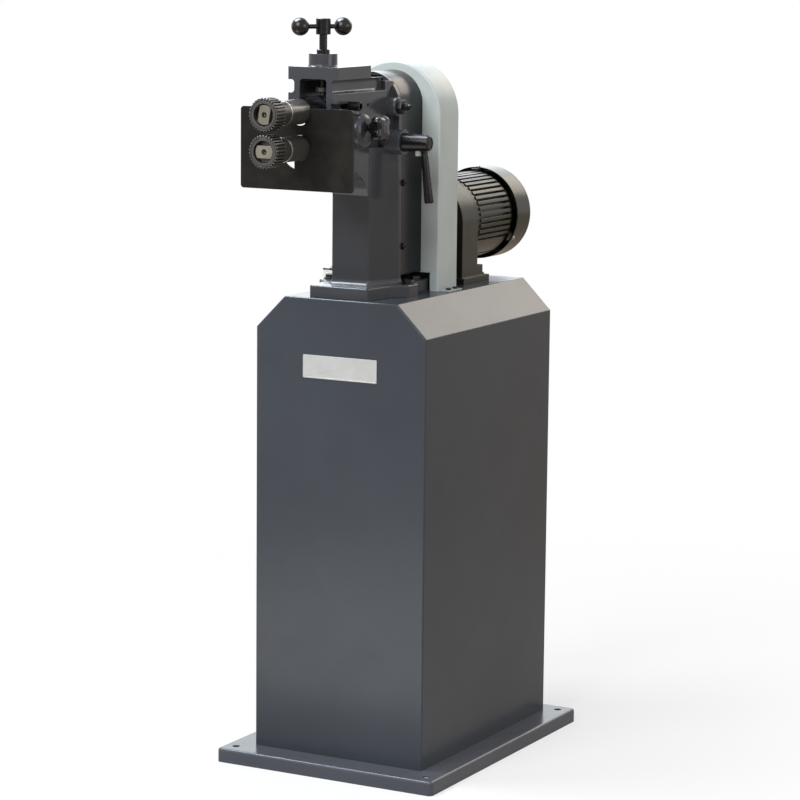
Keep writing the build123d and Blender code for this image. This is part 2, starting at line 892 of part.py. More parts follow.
# Socket screws through the sides of the gear case
with BuildPart() as case_screws:
    head_end = case_half + case_screw_head_height
    shank_end = spigot_half - case_screw_depth
    for z in case_screw_heights:
        bar_right(case_screw_y, z, case_screw_radius, shank_end, case_half)
        bar_right(case_screw_y, z, case_screw_head_radius, case_half, head_end)
        bar_right(case_screw_y, z, case_screw_radius, head_end - case_screw_socket, head_end, Mode.SUBTRACT)
        bar_right(case_screw_y, z, case_screw_radius, -case_half, -shank_end)
        bar_right(case_screw_y, z, case_screw_head_radius, -head_end, -case_half)
        bar_right(case_screw_y, z, case_screw_radius, -head_end, case_screw_socket - head_end, Mode.SUBTRACT)
case_screws.part.label = "case_screws"
export_step(case_screws.part, "parts/case_screws.step")

# Socket screw that stands out of the slot in the head's side
with BuildPart() as side_screw:
    with BuildSketch(beside(head_half - side_slot_depth)):
        with Locations((head_front_y + side_slot_length, side_slot_z)):
            Circle(side_screw_radius)
    extrude(amount=side_slot_depth + side_screw_reach)
    chamfer(side_screw.faces().sort_by(Axis.X)[-1].edges(), edge_chamfer)
    with BuildSketch(beside(head_half + side_screw_reach)):
        with Locations((head_front_y + side_slot_length, side_slot_z)):
            RegularPolygon(side_screw_radius * side_screw_socket, 6)
    extrude(amount=-side_screw_radius, mode=Mode.SUBTRACT)
side_screw.part.label = "side_screw"
export_step(side_screw.part, "parts/side_screw.step")

# Upper sleeve: long nose tube on a trunnion block that rocks on the pivot studs
with BuildPart() as upper_sleeve:
    bar_back(0, upper_z, sleeve_radius, sleeve_front_y, sleeve_nose_rear_y)
    fillet(upper_sleeve.edges().filter_by(GeomType.CIRCLE).sort_by(Axis.Y)[-1], sleeve_nose_round)
    bar_back(0, upper_z, sleeve_neck_radius, sleeve_nose_rear_y, sleeve_body_front_y)
    bar_back(0, upper_z, sleeve_body_radius, sleeve_body_front_y, trunnion_front_y)
    with BuildSketch(across(trunnion_rear_y)):
        with Locations((0, upper_z)):
            RectangleRounded(2 * trunnion_half, 2 * sleeve_radius, bush_flange)
    extrude(amount=trunnion_rear_y - trunnion_front_y)
    bar_back(0, upper_z, sleeve_bore, sleeve_front_y, trunnion_rear_y, Mode.SUBTRACT)
    bar_right(pivot_y, upper_z, pivot_stud_radius + running_fit, -trunnion_half, trunnion_half, Mode.SUBTRACT)
upper_sleeve.part.label = "upper_sleeve"
export_step(upper_sleeve.part, "parts/upper_sleeve.step")

# Lower sleeve: slides in the lower arm
with BuildPart() as lower_sleeve:
    bar_back(0, lower_z, sleeve_radius, sleeve_front_y, trunnion_rear_y)
    bar_back(0, lower_z, sleeve_bore, sleeve_front_y, trunnion_rear_y, Mode.SUBTRACT)
lower_sleeve.part.label = "lower_sleeve"
export_step(lower_sleeve.part, "parts/lower_sleeve.step")

# Flanged bushes at both ends of each sleeve
with BuildPart() as upper_bushes:
    bar_back(0, upper_z, bush_flange_radius, bush_front_y, sleeve_front_y)
    bar_back(0, upper_z, sleeve_bore - seat_fit, sleeve_front_y, sleeve_front_y + bush_length)
    bar_back(0, upper_z, bush_flange_radius, trunnion_rear_y, trunnion_rear_y + bush_flange)
    bar_back(0, upper_z, sleeve_bore - seat_fit, trunnion_rear_y - bush_length, trunnion_rear_y)
    bar_back(
        0, upper_z, journal_radius + running_fit, bush_front_y, trunnion_rear_y + bush_flange, Mode.SUBTRACT
    )
upper_bushes.part.label = "upper_bushes"
export_step(upper_bushes.part, "parts/upper_bushes.step")

with BuildPart() as lower_bushes:
    bar_back(0, lower_z, bush_flange_radius, bush_front_y, sleeve_front_y)
    bar_back(0, lower_z, sleeve_bore - seat_fit, sleeve_front_y, sleeve_front_y + bush_length)
    bar_back(0, lower_z, bush_flange_radius, trunnion_rear_y, trunnion_rear_y + bush_flange)
    bar_back(0, lower_z, sleeve_bore - seat_fit, trunnion_rear_y - bush_length, trunnion_rear_y)
    bar_back(
        0, lower_z, journal_radius + running_fit, bush_front_y, trunnion_rear_y + bush_flange, Mode.SUBTRACT
    )
lower_bushes.part.label = "lower_bushes"
export_step(lower_bushes.part, "parts/lower_bushes.step")

# Pivot studs of the upper sleeve with their nuts
with BuildPart() as pivot_studs:
    bar_right(pivot_y, upper_z, pivot_stud_radius, pivot_stud_tip, pivot_stud_end)
    bar_right(pivot_y, upper_z, pivot_stud_radius, -pivot_stud_end, -pivot_stud_tip)
    chamfer(pivot_studs.faces().sort_by(Axis.X)[0].edges(), edge_chamfer)
    chamfer(pivot_studs.faces().sort_by(Axis.X)[-1].edges(), edge_chamfer)
pivot_studs.part.label = "pivot_studs"
export_step(pivot_studs.part, "parts/pivot_studs.step")

with BuildPart() as pivot_nuts:
    for start in (pivot_boss_half, -pivot_boss_half - pivot_nut_height):
        with BuildSketch(beside(start)):
            with Locations((pivot_y, upper_z)):
                RegularPolygon(pivot_nut_flats / math.sqrt(3), 6)
                Circle(pivot_stud_radius + bolt_fit, mode=Mode.SUBTRACT)
        extrude(amount=pivot_nut_height)
pivot_nuts.part.label = "pivot_nuts"
export_step(pivot_nuts.part, "parts/pivot_nuts.step")

# Shafts with two flats at the front end, and the rolls that these flats turn
recess_floor_y = roll_front_y + roll_recess_depth
seat_front_y = recess_floor_y + roll_web
shaft_end_front_y = recess_floor_y - shaft_end_length
shaft_places = (
    ("upper", upper_z, upper_end_turn, roll_gear_rear_y + shaft_tail),
    ("lower", lower_z, lower_end_turn, large_gear_rear_y + large_gear_hub_length + shaft_tail),
)


def flatted_face(axis_z, turn, gap):
    """Round face about a shaft's axis with two flats, larger all round by gap."""
    with BuildSketch() as face:
        with Locations(Location((0, axis_z, 0), (0, 0, turn))):
            Circle(seat_radius - seat_fit + gap)
            Rectangle(3 * seat_radius, shaft_end_flats + 2 * gap, mode=Mode.INTERSECT)
    return face.sketch


for side, axis_z, turn, tail_y in shaft_places:
    with BuildPart() as shaft:
        with BuildSketch(across(seat_front_y)):
            add(flatted_face(axis_z, turn, 0))
        extrude(amount=seat_front_y - shaft_end_front_y)
        bar_back(
            0,
            axis_z,
            shaft_center_radius,
            shaft_end_front_y,
            shaft_end_front_y + shaft_center_depth,
            Mode.SUBTRACT,
        )
        bar_back(0, axis_z, seat_radius, seat_front_y, hub_rear_y)
        bar_back(0, axis_z, journal_radius, hub_rear_y, tail_y)
    shaft.part.label = f"{side}_shaft"
    export_step(shaft.part, f"parts/{side}_shaft.step")

    with BuildPart() as roll:
        bar_back(0, axis_z, roll_radius, roll_front_y, roll_rear_y)
        chamfer(roll.edges().filter_by(GeomType.CIRCLE), roll_edge_chamfer)
        with BuildSketch(across(roll_rear_y)):
            with Locations((0, axis_z)):
                with PolarLocations(roll_radius, roll_teeth):
                    Rectangle(2 * roll_tooth_depth, roll_tooth_gap)
        extrude(amount=roll_length, mode=Mode.SUBTRACT)
        bar_back(0, axis_z, roll_hub_radius, roll_rear_y, hub_rear_y)
        bar_back(0, axis_z, seat_radius + seat_fit, seat_front_y - face_gap, hub_rear_y, Mode.SUBTRACT)
        bar_back(0, axis_z, roll_recess_radius, roll_front_y, recess_floor_y, Mode.SUBTRACT)
        with BuildSketch(across(seat_front_y)):
            add(flatted_face(axis_z, turn, bolt_fit))
        extrude(amount=roll_web, mode=Mode.SUBTRACT)
        with BuildSketch(across(roll_front_y)):
            with Locations((0, axis_z)):
                Circle(roll_groove_radius + roll_groove_width)
                Circle(roll_groove_radius, mode=Mode.SUBTRACT)
        extrude(amount=-roll_groove_depth, mode=Mode.SUBTRACT)
    roll.part.label = f"{side}_roll"
    export_step(roll.part, f"parts/{side}_roll.step")

# Equal gears that join the two shafts
gear_places = (
    ("upper_gear", upper_z, -90 + 180 / roll_gear_teeth),
    ("lower_gear", lower_z, 90),
)
for label, axis_z, turn in gear_places:
    with BuildPart() as roll_gear:
        with BuildSketch(across(roll_gear_rear_y)):
            with Locations((0, axis_z)):
                add(
                    gear_face(
                        roll_gear_module,
                        roll_gear_teeth,
                        roll_gear_addendum,
                        roll_gear_dedendum,
                        roll_gear_backlash,
                        turn,
                    )
                )
                Circle(journal_radius + seat_fit, mode=Mode.SUBTRACT)
        extrude(amount=roll_gear_width)
    roll_gear.part.label = label
    export_step(roll_gear.part, f"parts/{label}.step")

# Large gear on the rear of the lower shaft
with BuildPart() as large_gear:
    with BuildSketch(across(large_gear_rear_y)):
        with Locations((0, lower_z)):
            add(
                gear_face(
                    large_gear_module,
                    large_gear_teeth,
                    large_gear_module,
                    full_dedendum * large_gear_module,
                    drive_gear_backlash,
                    -90,
                )
            )
    extrude(amount=large_gear_width)
    bar_back(0, lower_z, large_gear_hub_radius, large_gear_rear_y, large_gear_rear_y + large_gear_hub_length)
    bar_back(
        0,
        lower_z,
        journal_radius + seat_fit,
        large_gear_front_y,
        large_gear_rear_y + large_gear_hub_length,
        Mode.SUBTRACT,
    )
large_gear.part.label = "large_gear"
export_step(large_gear.part, "parts/large_gear.step")

# Bush of the lower shaft in the rear wall of the gear case
with BuildPart() as rear_bush:
    bar_back(0, lower_z, rear_bush_radius, case_rear_y - case_rear_wall - rear_bush_boss, case_rear_y)
    bar_back(
        0,
        lower_z,
        journal_radius + running_fit,
        case_rear_y - case_rear_wall - rear_bush_boss,
        case_rear_y,
        Mode.SUBTRACT,
    )
rear_bush.part.label = "rear_bush"
export_step(rear_bush.part, "parts/rear_bush.step")

# Feed spindle, its collar bush, pad and spring
with BuildPart() as spindle_bush:
    bar_up(0, spindle_y, spindle_bush_radius, spindle_boss_top - spindle_bush_depth, spindle_boss_top)
    bar_up(0, spindle_y, spindle_collar_radius, spindle_boss_top, collar_top)
    chamfer(spindle_bush.faces().sort_by(Axis.Z)[-1].edges(), edge_chamfer)
    bar_up(
        0,
        spindle_y,
        spindle_radius + running_fit,
        spindle_boss_top - spindle_bush_depth,
        collar_top,
        Mode.SUBTRACT,
    )
spindle_bush.part.label = "spindle_bush"
export_step(spindle_bush.part, "parts/spindle_bush.step")

with BuildPart() as feed_spindle:
    bar_up(0, spindle_y, spindle_tip_radius, pad_seat + face_gap, pad_top + face_gap)
    bar_up(0, spindle_y, spindle_radius, pad_top + face_gap, hub_bottom + handle_hub_socket)
feed_spindle.part.label = "feed_spindle"
export_step(feed_spindle.part, "parts/feed_spindle.step")

with BuildPart() as pressure_pad:
    bar_up(0, spindle_y, pad_nose_radius, pad_bottom, pad_seat)
    bar_up(0, spindle_y, pad_radius, pad_seat, pad_top)
    chamfer(pressure_pad.faces().sort_by(Axis.Z)[-1].edges(), edge_chamfer)
    bar_up(0, spindle_y, spindle_tip_radius + running_fit, pad_seat, pad_top, Mode.SUBTRACT)
pressure_pad.part.label = "pressure_pad"
export_step(pressure_pad.part, "parts/pressure_pad.step")

with BuildPart() as lift_spring:
    spring_bottom = window_floor_z - spring_pocket_depth + spring_wire_radius + running_fit
    spring_top = upper_z - sleeve_body_radius - spring_wire_radius - face_gap
    with BuildLine() as spring_line:
        Helix(
            spring_pitch,
            spring_top - spring_bottom,
            spring_coil_radius,
            center=(head_x, spring_y, spring_bottom),
        )
    with BuildSketch(Plane(origin=spring_line.line @ 0, z_dir=spring_line.line % 0)):
        Circle(spring_wire_radius)
    sweep(is_frenet=True)
lift_spring.part.label = "lift_spring"
export_step(lift_spring.part, "parts/lift_spring.step")

# Handle of the spindle, turned as it stands at rest
bar_half = ball_spacing / 2 - ball_radius + ball_socket
bar_line = Vector(math.cos(math.radians(handle_turn)), math.sin(math.radians(handle_turn)), 0)
hub_center = Vector(head_x, spindle_y, bar_z)


def bar_along(radius, start, end, mode=Mode.ADD):
    """Round bar along the handle between two distances from the spindle's axis."""
    with Locations(Plane(origin=hub_center + bar_line * start, z_dir=bar_line)):
        Cylinder(radius, end - start, align=(Align.CENTER, Align.CENTER, Align.MIN), mode=mode)


with BuildPart() as handle_hub:
    bar_up(0, spindle_y, handle_hub_radius, hub_bottom, hub_bottom + handle_hub_height)
    chamfer(handle_hub.edges().filter_by(GeomType.CIRCLE), edge_chamfer)
    bar_up(0, spindle_y, spindle_radius + seat_fit, hub_bottom, hub_bottom + handle_hub_socket, Mode.SUBTRACT)
    bar_along(handle_bar_radius + seat_fit, -handle_hub_radius, handle_hub_radius, Mode.SUBTRACT)
handle_hub.part.label = "handle_hub"
export_step(handle_hub.part, "parts/handle_hub.step")

with BuildPart() as handle_bar:
    bar_along(
        handle_bar_radius,
        handle_bar_shift - bar_half + face_gap,
        handle_bar_shift + bar_half - face_gap,
    )
handle_bar.part.label = "handle_bar"
export_step(handle_bar.part, "parts/handle_bar.step")

with BuildPart() as ball_knobs:
    for sign in (-1, 1):
        with Locations(Plane(origin=hub_center + bar_line * (handle_bar_shift + sign * ball_spacing / 2))):
            Sphere(ball_radius)
    bar_along(
        handle_bar_radius + bolt_fit,
        handle_bar_shift - bar_half,
        handle_bar_shift + bar_half,
        Mode.SUBTRACT,
    )
ball_knobs.part.label = "ball_knobs"
export_step(ball_knobs.part, "parts/ball_knobs.step")

# Clamp lever of the lower sleeve, with its stud
with BuildPart() as clamp_lever:
    with Locations(Plane(origin=(head_x + lever_hub_start, pivot_y, lower_z), z_dir=(1, 0, 0))):
        Cone(
            lever_hub_radius,
            lever_hub_end_radius,
            lever_hub_length,
            align=(Align.CENTER, Align.CENTER, Align.MIN),
        )
    fillet(clamp_lever.edges().filter_by(GeomType.CIRCLE).sort_by(Axis.X)[-1], lever_hub_round)
    lean = math.radians(lever_arm_lean)
    arm_direction = (math.sin(lean), 0, -math.cos(lean))
    arm_root = (head_x + lever_hub_start + lever_arm_x, pivot_y, lower_z)
    with Locations(Plane(origin=arm_root, z_dir=arm_direction)):
        Cone(
            lever_arm_radius,
            lever_grip_radius,
            lever_arm_length,
            align=(Align.CENTER, Align.CENTER, Align.MIN),
        )
    fillet(clamp_lever.edges().filter_by(GeomType.CIRCLE).sort_by(Axis.Z)[0], lever_grip_radius / 2)
    bar_right(pivot_y, lower_z, lever_stud_radius, sleeve_radius + face_gap, lever_hub_start)
clamp_lever.part.label = "clamp_lever"
export_step(clamp_lever.part, "parts/clamp_lever.step")

# Fence plate and its rod
fence_bottom_z = lower_z - fence_bottom_drop
fence_rear_y = fence_front_y + fence_thickness
with BuildPart() as fence_plate:
    with BuildSketch(across(fence_rear_y)):
        with Locations((fence_shift, fence_bottom_z)):
            RectangleRounded(fence_width, fence_height, fence_corner, align=(Align.CENTER, Align.MIN))
        with Locations((0, lower_z)):
            Circle(fence_hole_radius, mode=Mode.SUBTRACT)
        with Locations((0, upper_z)):
            Circle(fence_notch_radius, mode=Mode.SUBTRACT)
            Rectangle(
                2 * fence_notch_radius, fence_height, align=(Align.CENTER, Align.MIN), mode=Mode.SUBTRACT
            )
    extrude(amount=fence_thickness)
    with BuildSketch(across(fence_rear_y)):
        with Locations((0, lower_z)):
            Circle(fence_relief_radius)
        with Locations((fence_relief_edge, lower_z)):
            Rectangle(
                fence_relief_radius,
                fence_relief_radius,
                align=(Align.MAX, Align.MAX),
                mode=Mode.INTERSECT,
            )
    extrude(amount=fence_thickness, mode=Mode.SUBTRACT)
fence_plate.part.label = "fence_plate"
export_step(fence_plate.part, "parts/fence_plate.step")

with BuildPart() as fence_rod:
    bar_back(fence_rod_x, fence_rod_z, fence_rod_radius, fence_rear_y, fence_rod_rear_y)
    chamfer(fence_rod.faces().sort_by(Axis.Y)[-1].edges(), edge_chamfer)
fence_rod.part.label = "fence_rod"
export_step(fence_rod.part, "parts/fence_rod.step")

# Star knob that clamps the fence rod, with its stud
knob_start = fence_boss_half + knob_reach
with BuildPart() as star_knob:
    with BuildSketch(beside(knob_start + knob_neck_length)):
        with Locations((fence_boss_y, fence_rod_z)):
            Circle(knob_core_radius)
            with PolarLocations(knob_lobe_circle, knob_lobes, knob_turn):
                Circle(knob_lobe_radius)
    extrude(amount=knob_thickness)
    fillet(star_knob.faces().sort_by(Axis.X)[-1].edges(), knob_round)
    bar_right(fence_boss_y, fence_rod_z, knob_neck_radius, knob_start, knob_start + knob_neck_length)
    bar_right(
        fence_boss_y, fence_rod_z, knob_stud_radius, fence_rod_x + fence_rod_radius + face_gap, knob_start
    )
star_knob.part.label = "star_knob"
export_step(star_knob.part, "parts/star_knob.step")

# Drive guard: arched sheet cover, open at the rear and below
guard_lug_places = [
    (sign * (guard_half - guard_sheet - guard_lug_radius + overlap), cabinet_top + height)
    for sign in (-1, 1)
    for height in guard_lug_heights
]
with BuildPart() as drive_guard:
    with BuildSketch(across(guard_rear_y)):
        add(arch(guard_half, cabinet_top, guard_arch_z))
    extrude(amount=guard_depth)
    fillet(
        drive_guard.faces()
        .sort_by(Axis.Y)[0]
        .edges()
        .filter_by(lambda edge: edge.center().Z > cabinet_top + overlap),
        guard_edge_radius,
    )
    offset(
        amount=-guard_sheet,
        openings=[drive_guard.faces().sort_by(Axis.Y)[-1], drive_guard.faces().sort_by(Axis.Z)[0]],
    )
    with BuildSketch(across(guard_front_y + 2 * guard_sheet)):
        with Locations((0, cabinet_top)):
            Rectangle(2 * guard_notch_half, guard_notch_height, align=(Align.CENTER, Align.MIN))
        with Locations((0, lower_z)):
            Circle(guard_opening_radius)
    extrude(amount=3 * guard_sheet, mode=Mode.SUBTRACT)
    with BuildSketch(across(guard_rear_y)):
        with Locations(*guard_lug_places):
            Circle(guard_lug_radius)
    extrude(amount=guard_lug_depth)
    with BuildSketch(across(guard_rear_y)):
        with Locations(*guard_lug_places):
            Circle(guard_screw_radius + bolt_fit)
    extrude(amount=guard_lug_depth, mode=Mode.SUBTRACT)
    with BuildSketch(above(cabinet_top)):
        tab_shift = guard_tab_x - guard_tab_overlap / 2
        with Locations((-tab_shift, guard_tab_y), (tab_shift, guard_tab_y)):
            RectangleRounded(guard_tab_width + guard_tab_overlap, guard_tab_length, guard_tab_corner)
        with Locations(*guard_tab_places):
            Circle(guard_screw_radius + bolt_fit, mode=Mode.SUBTRACT)
    extrude(amount=guard_sheet)
drive_guard.part.label = "drive_guard"
export_step(drive_guard.part, "parts/drive_guard.step")

with BuildPart() as guard_back:
    with BuildSketch(across(guard_rear_y)):
        add(arch(guard_half, cabinet_top, guard_arch_z))
        with Locations((0, output_z)):
            Circle(guard_back_hole, mode=Mode.SUBTRACT)
        with Locations(*guard_lug_places):
            Circle(guard_screw_radius + bolt_fit, mode=Mode.SUBTRACT)
    extrude(amount=-guard_back_sheet)
guard_back.part.label = "guard_back"
export_step(guard_back.part, "parts/guard_back.step")

with BuildPart() as guard_screws:
    guard_outer_y = guard_rear_y + guard_back_sheet
    for x, z in guard_lug_places:
        bar_back(x, z, guard_screw_radius, guard_outer_y - guard_screw_length, guard_outer_y)
        bar_back(x, z, guard_screw_head_radius, guard_outer_y, guard_outer_y + guard_screw_head_height)
    for x, y in guard_tab_places:
        bar_up(x, y, guard_screw_radius, cabinet_top, cabinet_top + guard_sheet)
        bar_up(
            x,
            y,
            guard_screw_head_radius,
            cabinet_top + guard_sheet,
            cabinet_top + guard_sheet + guard_screw_head_height,
        )
guard_screws.part.label = "guard_screws"
export_step(guard_screws.part, "parts/guard_screws.step")

# Reducer housing with its foot, open at the rear
with BuildPart() as reducer_housing:
    with BuildSketch(across(reducer_rear_y)):
        add(arch(reducer_half, reducer_foot_top, motor_z))
    extrude(amount=reducer_depth)
    with BuildSketch(across(reducer_pedestal_rear_y)):
        with Locations((0, reducer_foot_top)):
            Rectangle(2 * reducer_half, reducer_pedestal_height, align=(Align.CENTER, Align.MIN))
    extrude(amount=reducer_pedestal_rear_y - reducer_front_y)
    with BuildSketch(above(cabinet_top)):
        with Locations((0, reducer_foot_front_y)):
            Rectangle(
                2 * reducer_foot_half,
                reducer_foot_rear_y - reducer_foot_front_y,
                align=(Align.CENTER, Align.MIN),
            )
        with Locations(*reducer_bolt_places):
            Circle(foot_bolt_radius + bolt_fit, mode=Mode.SUBTRACT)
    extrude(amount=reducer_foot_thickness)
    bar_back(0, output_z, reducer_nose_radius, reducer_front_y - reducer_nose_length, reducer_front_y)
    bar_back(
        0,
        motor_z,
        reducer_half - reducer_wall,
        reducer_front_y + reducer_wall,
        reducer_rear_y,
        Mode.SUBTRACT,
    )
    bar_back(
        0,
        output_z,
        journal_radius + running_fit,
        reducer_front_y - reducer_nose_length,
        reducer_front_y + reducer_wall,
        Mode.SUBTRACT,
    )
    bar_back(
        counter_x,
        counter_z,
        countershaft_radius + running_fit,
        reducer_front_y + reducer_wall - countershaft_socket,
        reducer_front_y + reducer_wall,
        Mode.SUBTRACT,
    )
reducer_housing.part.label = "reducer_housing"
export_step(reducer_housing.part, "parts/reducer_housing.step")

with BuildPart() as reducer_bolts:
    for x, y in reducer_bolt_places:
        bar_up(x, y, foot_bolt_radius, cabinet_top - cabinet_sheet - stiffener_thickness, reducer_foot_top)
    with BuildSketch(above(reducer_foot_top)):
        with Locations(*reducer_bolt_places):
            Circle(guard_screw_head_radius)
    extrude(amount=guard_screw_head_height)
reducer_bolts.part.label = "reducer_bolts"
export_step(reducer_bolts.part, "parts/reducer_bolts.step")

# Output shaft with the drive pinion cut on it
with BuildPart() as output_shaft:
    with BuildSketch(across(pinion_front_y + pinion_width)):
        with Locations((0, output_z)):
            add(
                gear_face(
                    large_gear_module,
                    pinion_teeth,
                    large_gear_module,
                    full_dedendum * large_gear_module,
                    drive_gear_backlash,
                    90 + 180 / pinion_teeth,
                )
            )
    extrude(amount=pinion_width)
    bar_back(0, output_z, journal_radius, pinion_front_y, second_stage_rear_y)
output_shaft.part.label = "output_shaft"
export_step(output_shaft.part, "parts/output_shaft.step")

# Gears inside the reducer
second_stage_line = math.degrees(math.atan2(counter_z - output_z, counter_x))
first_stage_line = math.degrees(math.atan2(motor_z - counter_z, -counter_x))
with BuildPart() as output_gear:
    with BuildSketch(across(second_stage_rear_y - overlap)):
        with Locations((0, output_z)):
            add(
                gear_face(
                    second_stage_module,
                    second_stage_gear,
                    stub_addendum * second_stage_module,
                    stub_dedendum * second_stage_module,
                    stage_backlash,
                    second_stage_line,
                )
            )
            Circle(journal_radius + seat_fit, mode=Mode.SUBTRACT)
    extrude(amount=second_stage_width - 2 * overlap)
output_gear.part.label = "output_gear"
export_step(output_gear.part, "parts/output_gear.step")

with BuildPart() as countershaft:
    with BuildSketch(across(second_stage_rear_y)):
        with Locations((counter_x, counter_z)):
            add(
                gear_face(
                    second_stage_module,
                    second_stage_pinion,
                    stub_addendum * second_stage_module,
                    stub_dedendum * second_stage_module,
                    stage_backlash,
                    second_stage_line + 180 + 180 / second_stage_pinion,
                )
            )
    extrude(amount=second_stage_width)
    with BuildSketch(across(first_stage_rear_y)):
        with Locations((counter_x, counter_z)):
            add(
                gear_face(
                    first_stage_module,
                    first_stage_gear,
                    stub_addendum * first_stage_module,
                    stub_dedendum * first_stage_module,
                    stage_backlash,
                    first_stage_line,
                )
            )
    extrude(amount=first_stage_width)
    bar_back(
        counter_x,
        counter_z,
        countershaft_radius,
        reducer_front_y + reducer_wall - countershaft_socket + face_gap,
        reducer_rear_y + countershaft_socket - face_gap,
    )
countershaft.part.label = "countershaft"
export_step(countershaft.part, "parts/countershaft.step")

# Motor: front shield, finned frame, stator, rotor, rear shield, fan and cover
with BuildPart() as front_shield:
    bar_back(0, motor_z, front_shield_radius, reducer_rear_y, motor_front_y)
    bar_back(0, motor_z, rotor_shaft_radius + running_fit, reducer_rear_y, motor_front_y, Mode.SUBTRACT)
    bar_back(
        counter_x,
        counter_z,
        countershaft_radius + running_fit,
        reducer_rear_y,
        reducer_rear_y + countershaft_socket,
        Mode.SUBTRACT,
    )
    with Locations((head_x, reducer_rear_y, reducer_foot_top)):
        Box(
            2 * reducer_half,
            3 * front_shield_thickness,
            reducer_pedestal_height + face_gap,
            align=(Align.CENTER, Align.MIN, Align.MIN),
            mode=Mode.SUBTRACT,
        )
front_shield.part.label = "front_shield"
export_step(front_shield.part, "parts/front_shield.step")

terminal_y = (motor_front_y + motor_rear_y) / 2
fin_gap_angles = [
    angle
    for angle in (360 / motor_fins * (index + 0.5) for index in range(motor_fins))
    if not motor_pad_start < abs(angle - 270) < motor_pad_end
]
with BuildPart() as motor_frame:
    with BuildSketch(across(motor_rear_y)):
        with Locations((0, motor_z)):
            Circle(motor_radius)
            for angle in fin_gap_angles:
                with Locations(Location((0, 0, 0), (0, 0, angle))):
                    with Locations((motor_radius, 0)):
                        Rectangle(2 * (motor_radius - motor_core_radius), motor_fin_gap, mode=Mode.SUBTRACT)
    extrude(amount=motor_length)
    with Locations((head_x - terminal_seat, terminal_y, motor_z)):
        Box(
            terminal_seat - motor_bore_radius - terminal_seat_inset,
            terminal_width - 2 * terminal_seat_inset,
            terminal_height - 2 * terminal_seat_inset,
            align=(Align.MIN, Align.CENTER, Align.CENTER),
        )
    bar_back(0, motor_z, motor_bore_radius, motor_front_y, motor_rear_y, Mode.SUBTRACT)
    with Locations((head_x, motor_front_y, reducer_foot_top)):
        Box(
            2 * reducer_half,
            reducer_pedestal_rear_y - motor_front_y + face_gap,
            reducer_pedestal_height + face_gap,
            align=(Align.CENTER, Align.MIN, Align.MIN),
            mode=Mode.SUBTRACT,
        )
motor_frame.part.label = "motor_frame"
export_step(motor_frame.part, "parts/motor_frame.step")

stator_front_y = terminal_y - stator_length / 2
with BuildPart() as stator:
    bar_back(0, motor_z, motor_bore_radius - seat_fit, stator_front_y, stator_front_y + stator_length)
    bar_back(0, motor_z, stator_bore_radius, stator_front_y, stator_front_y + stator_length, Mode.SUBTRACT)
stator.part.label = "stator"
export_step(stator.part, "parts/stator.step")

rear_shield_rear_y = motor_rear_y + rear_shield_length
fan_front_y = rear_shield_rear_y + fan_front_gap
fan_rear_y = fan_front_y + fan_width
with BuildPart() as motor_rotor:
    with BuildSketch(across(first_stage_rear_y + overlap)):
        with Locations((0, motor_z)):
            add(
                gear_face(
                    first_stage_module,
                    first_stage_pinion,
                    stub_addendum * first_stage_module,
                    stub_dedendum * first_stage_module,
                    stage_backlash,
                    first_stage_line + 180 + 180 / first_stage_pinion,
                )
            )
    extrude(amount=first_stage_width + 2 * overlap)
    bar_back(0, motor_z, rotor_shaft_radius, first_stage_rear_y + overlap, fan_rear_y)
    bar_back(0, motor_z, rotor_radius, terminal_y - rotor_length / 2, terminal_y + rotor_length / 2)
motor_rotor.part.label = "motor_rotor"
export_step(motor_rotor.part, "parts/motor_rotor.step")

cover_lug_rear_y = cover_front_y + cover_lug_reach
lug_angles = (90, 210, 330)
with BuildPart() as rear_shield:
    bar_back(0, motor_z, rear_shield_radius, motor_rear_y, rear_shield_rear_y)
    with BuildSketch(across(cover_lug_rear_y)):
        with Locations((0, motor_z)):
            for angle in lug_angles:
                with Locations(Location((0, 0, 0), (0, 0, angle))):
                    with Locations((cover_lug_inner_radius, 0)):
                        Rectangle(
                            cover_radius - cover_sheet - bolt_fit - cover_lug_inner_radius,
                            cover_lug_width,
                            align=(Align.MIN, Align.CENTER),
                        )
            Circle(cover_radius - cover_sheet - bolt_fit, mode=Mode.INTERSECT)
    extrude(amount=cover_lug_rear_y - motor_rear_y - overlap)
    bar_back(0, motor_z, rotor_shaft_radius + running_fit, motor_rear_y, rear_shield_rear_y, Mode.SUBTRACT)
    for angle in lug_angles:
        radial = (math.cos(math.radians(angle)), 0, math.sin(math.radians(angle)))
        with Locations(Plane(origin=(head_x, cover_front_y + cover_screw_inset, motor_z), z_dir=radial)):
            Hole(cover_screw_radius + bolt_fit, depth=cover_radius)
rear_shield.part.label = "rear_shield"
export_step(rear_shield.part, "parts/rear_shield.step")

with BuildPart() as cooling_fan:
    bar_back(0, motor_z, fan_hub_radius, fan_front_y, fan_rear_y)
    bar_back(0, motor_z, fan_radius, fan_front_y, fan_front_y + fan_blade_thickness)
    with BuildSketch(across(fan_rear_y)):
        with Locations((0, motor_z)):
            with PolarLocations(0, fan_blades):
                Rectangle(fan_radius, fan_blade_thickness, align=(Align.MIN, Align.CENTER))
            Circle(fan_radius, mode=Mode.INTERSECT)
    extrude(amount=fan_width)
    bar_back(0, motor_z, rotor_shaft_radius + seat_fit, fan_front_y, fan_rear_y, Mode.SUBTRACT)
cooling_fan.part.label = "cooling_fan"
export_step(cooling_fan.part, "parts/cooling_fan.step")

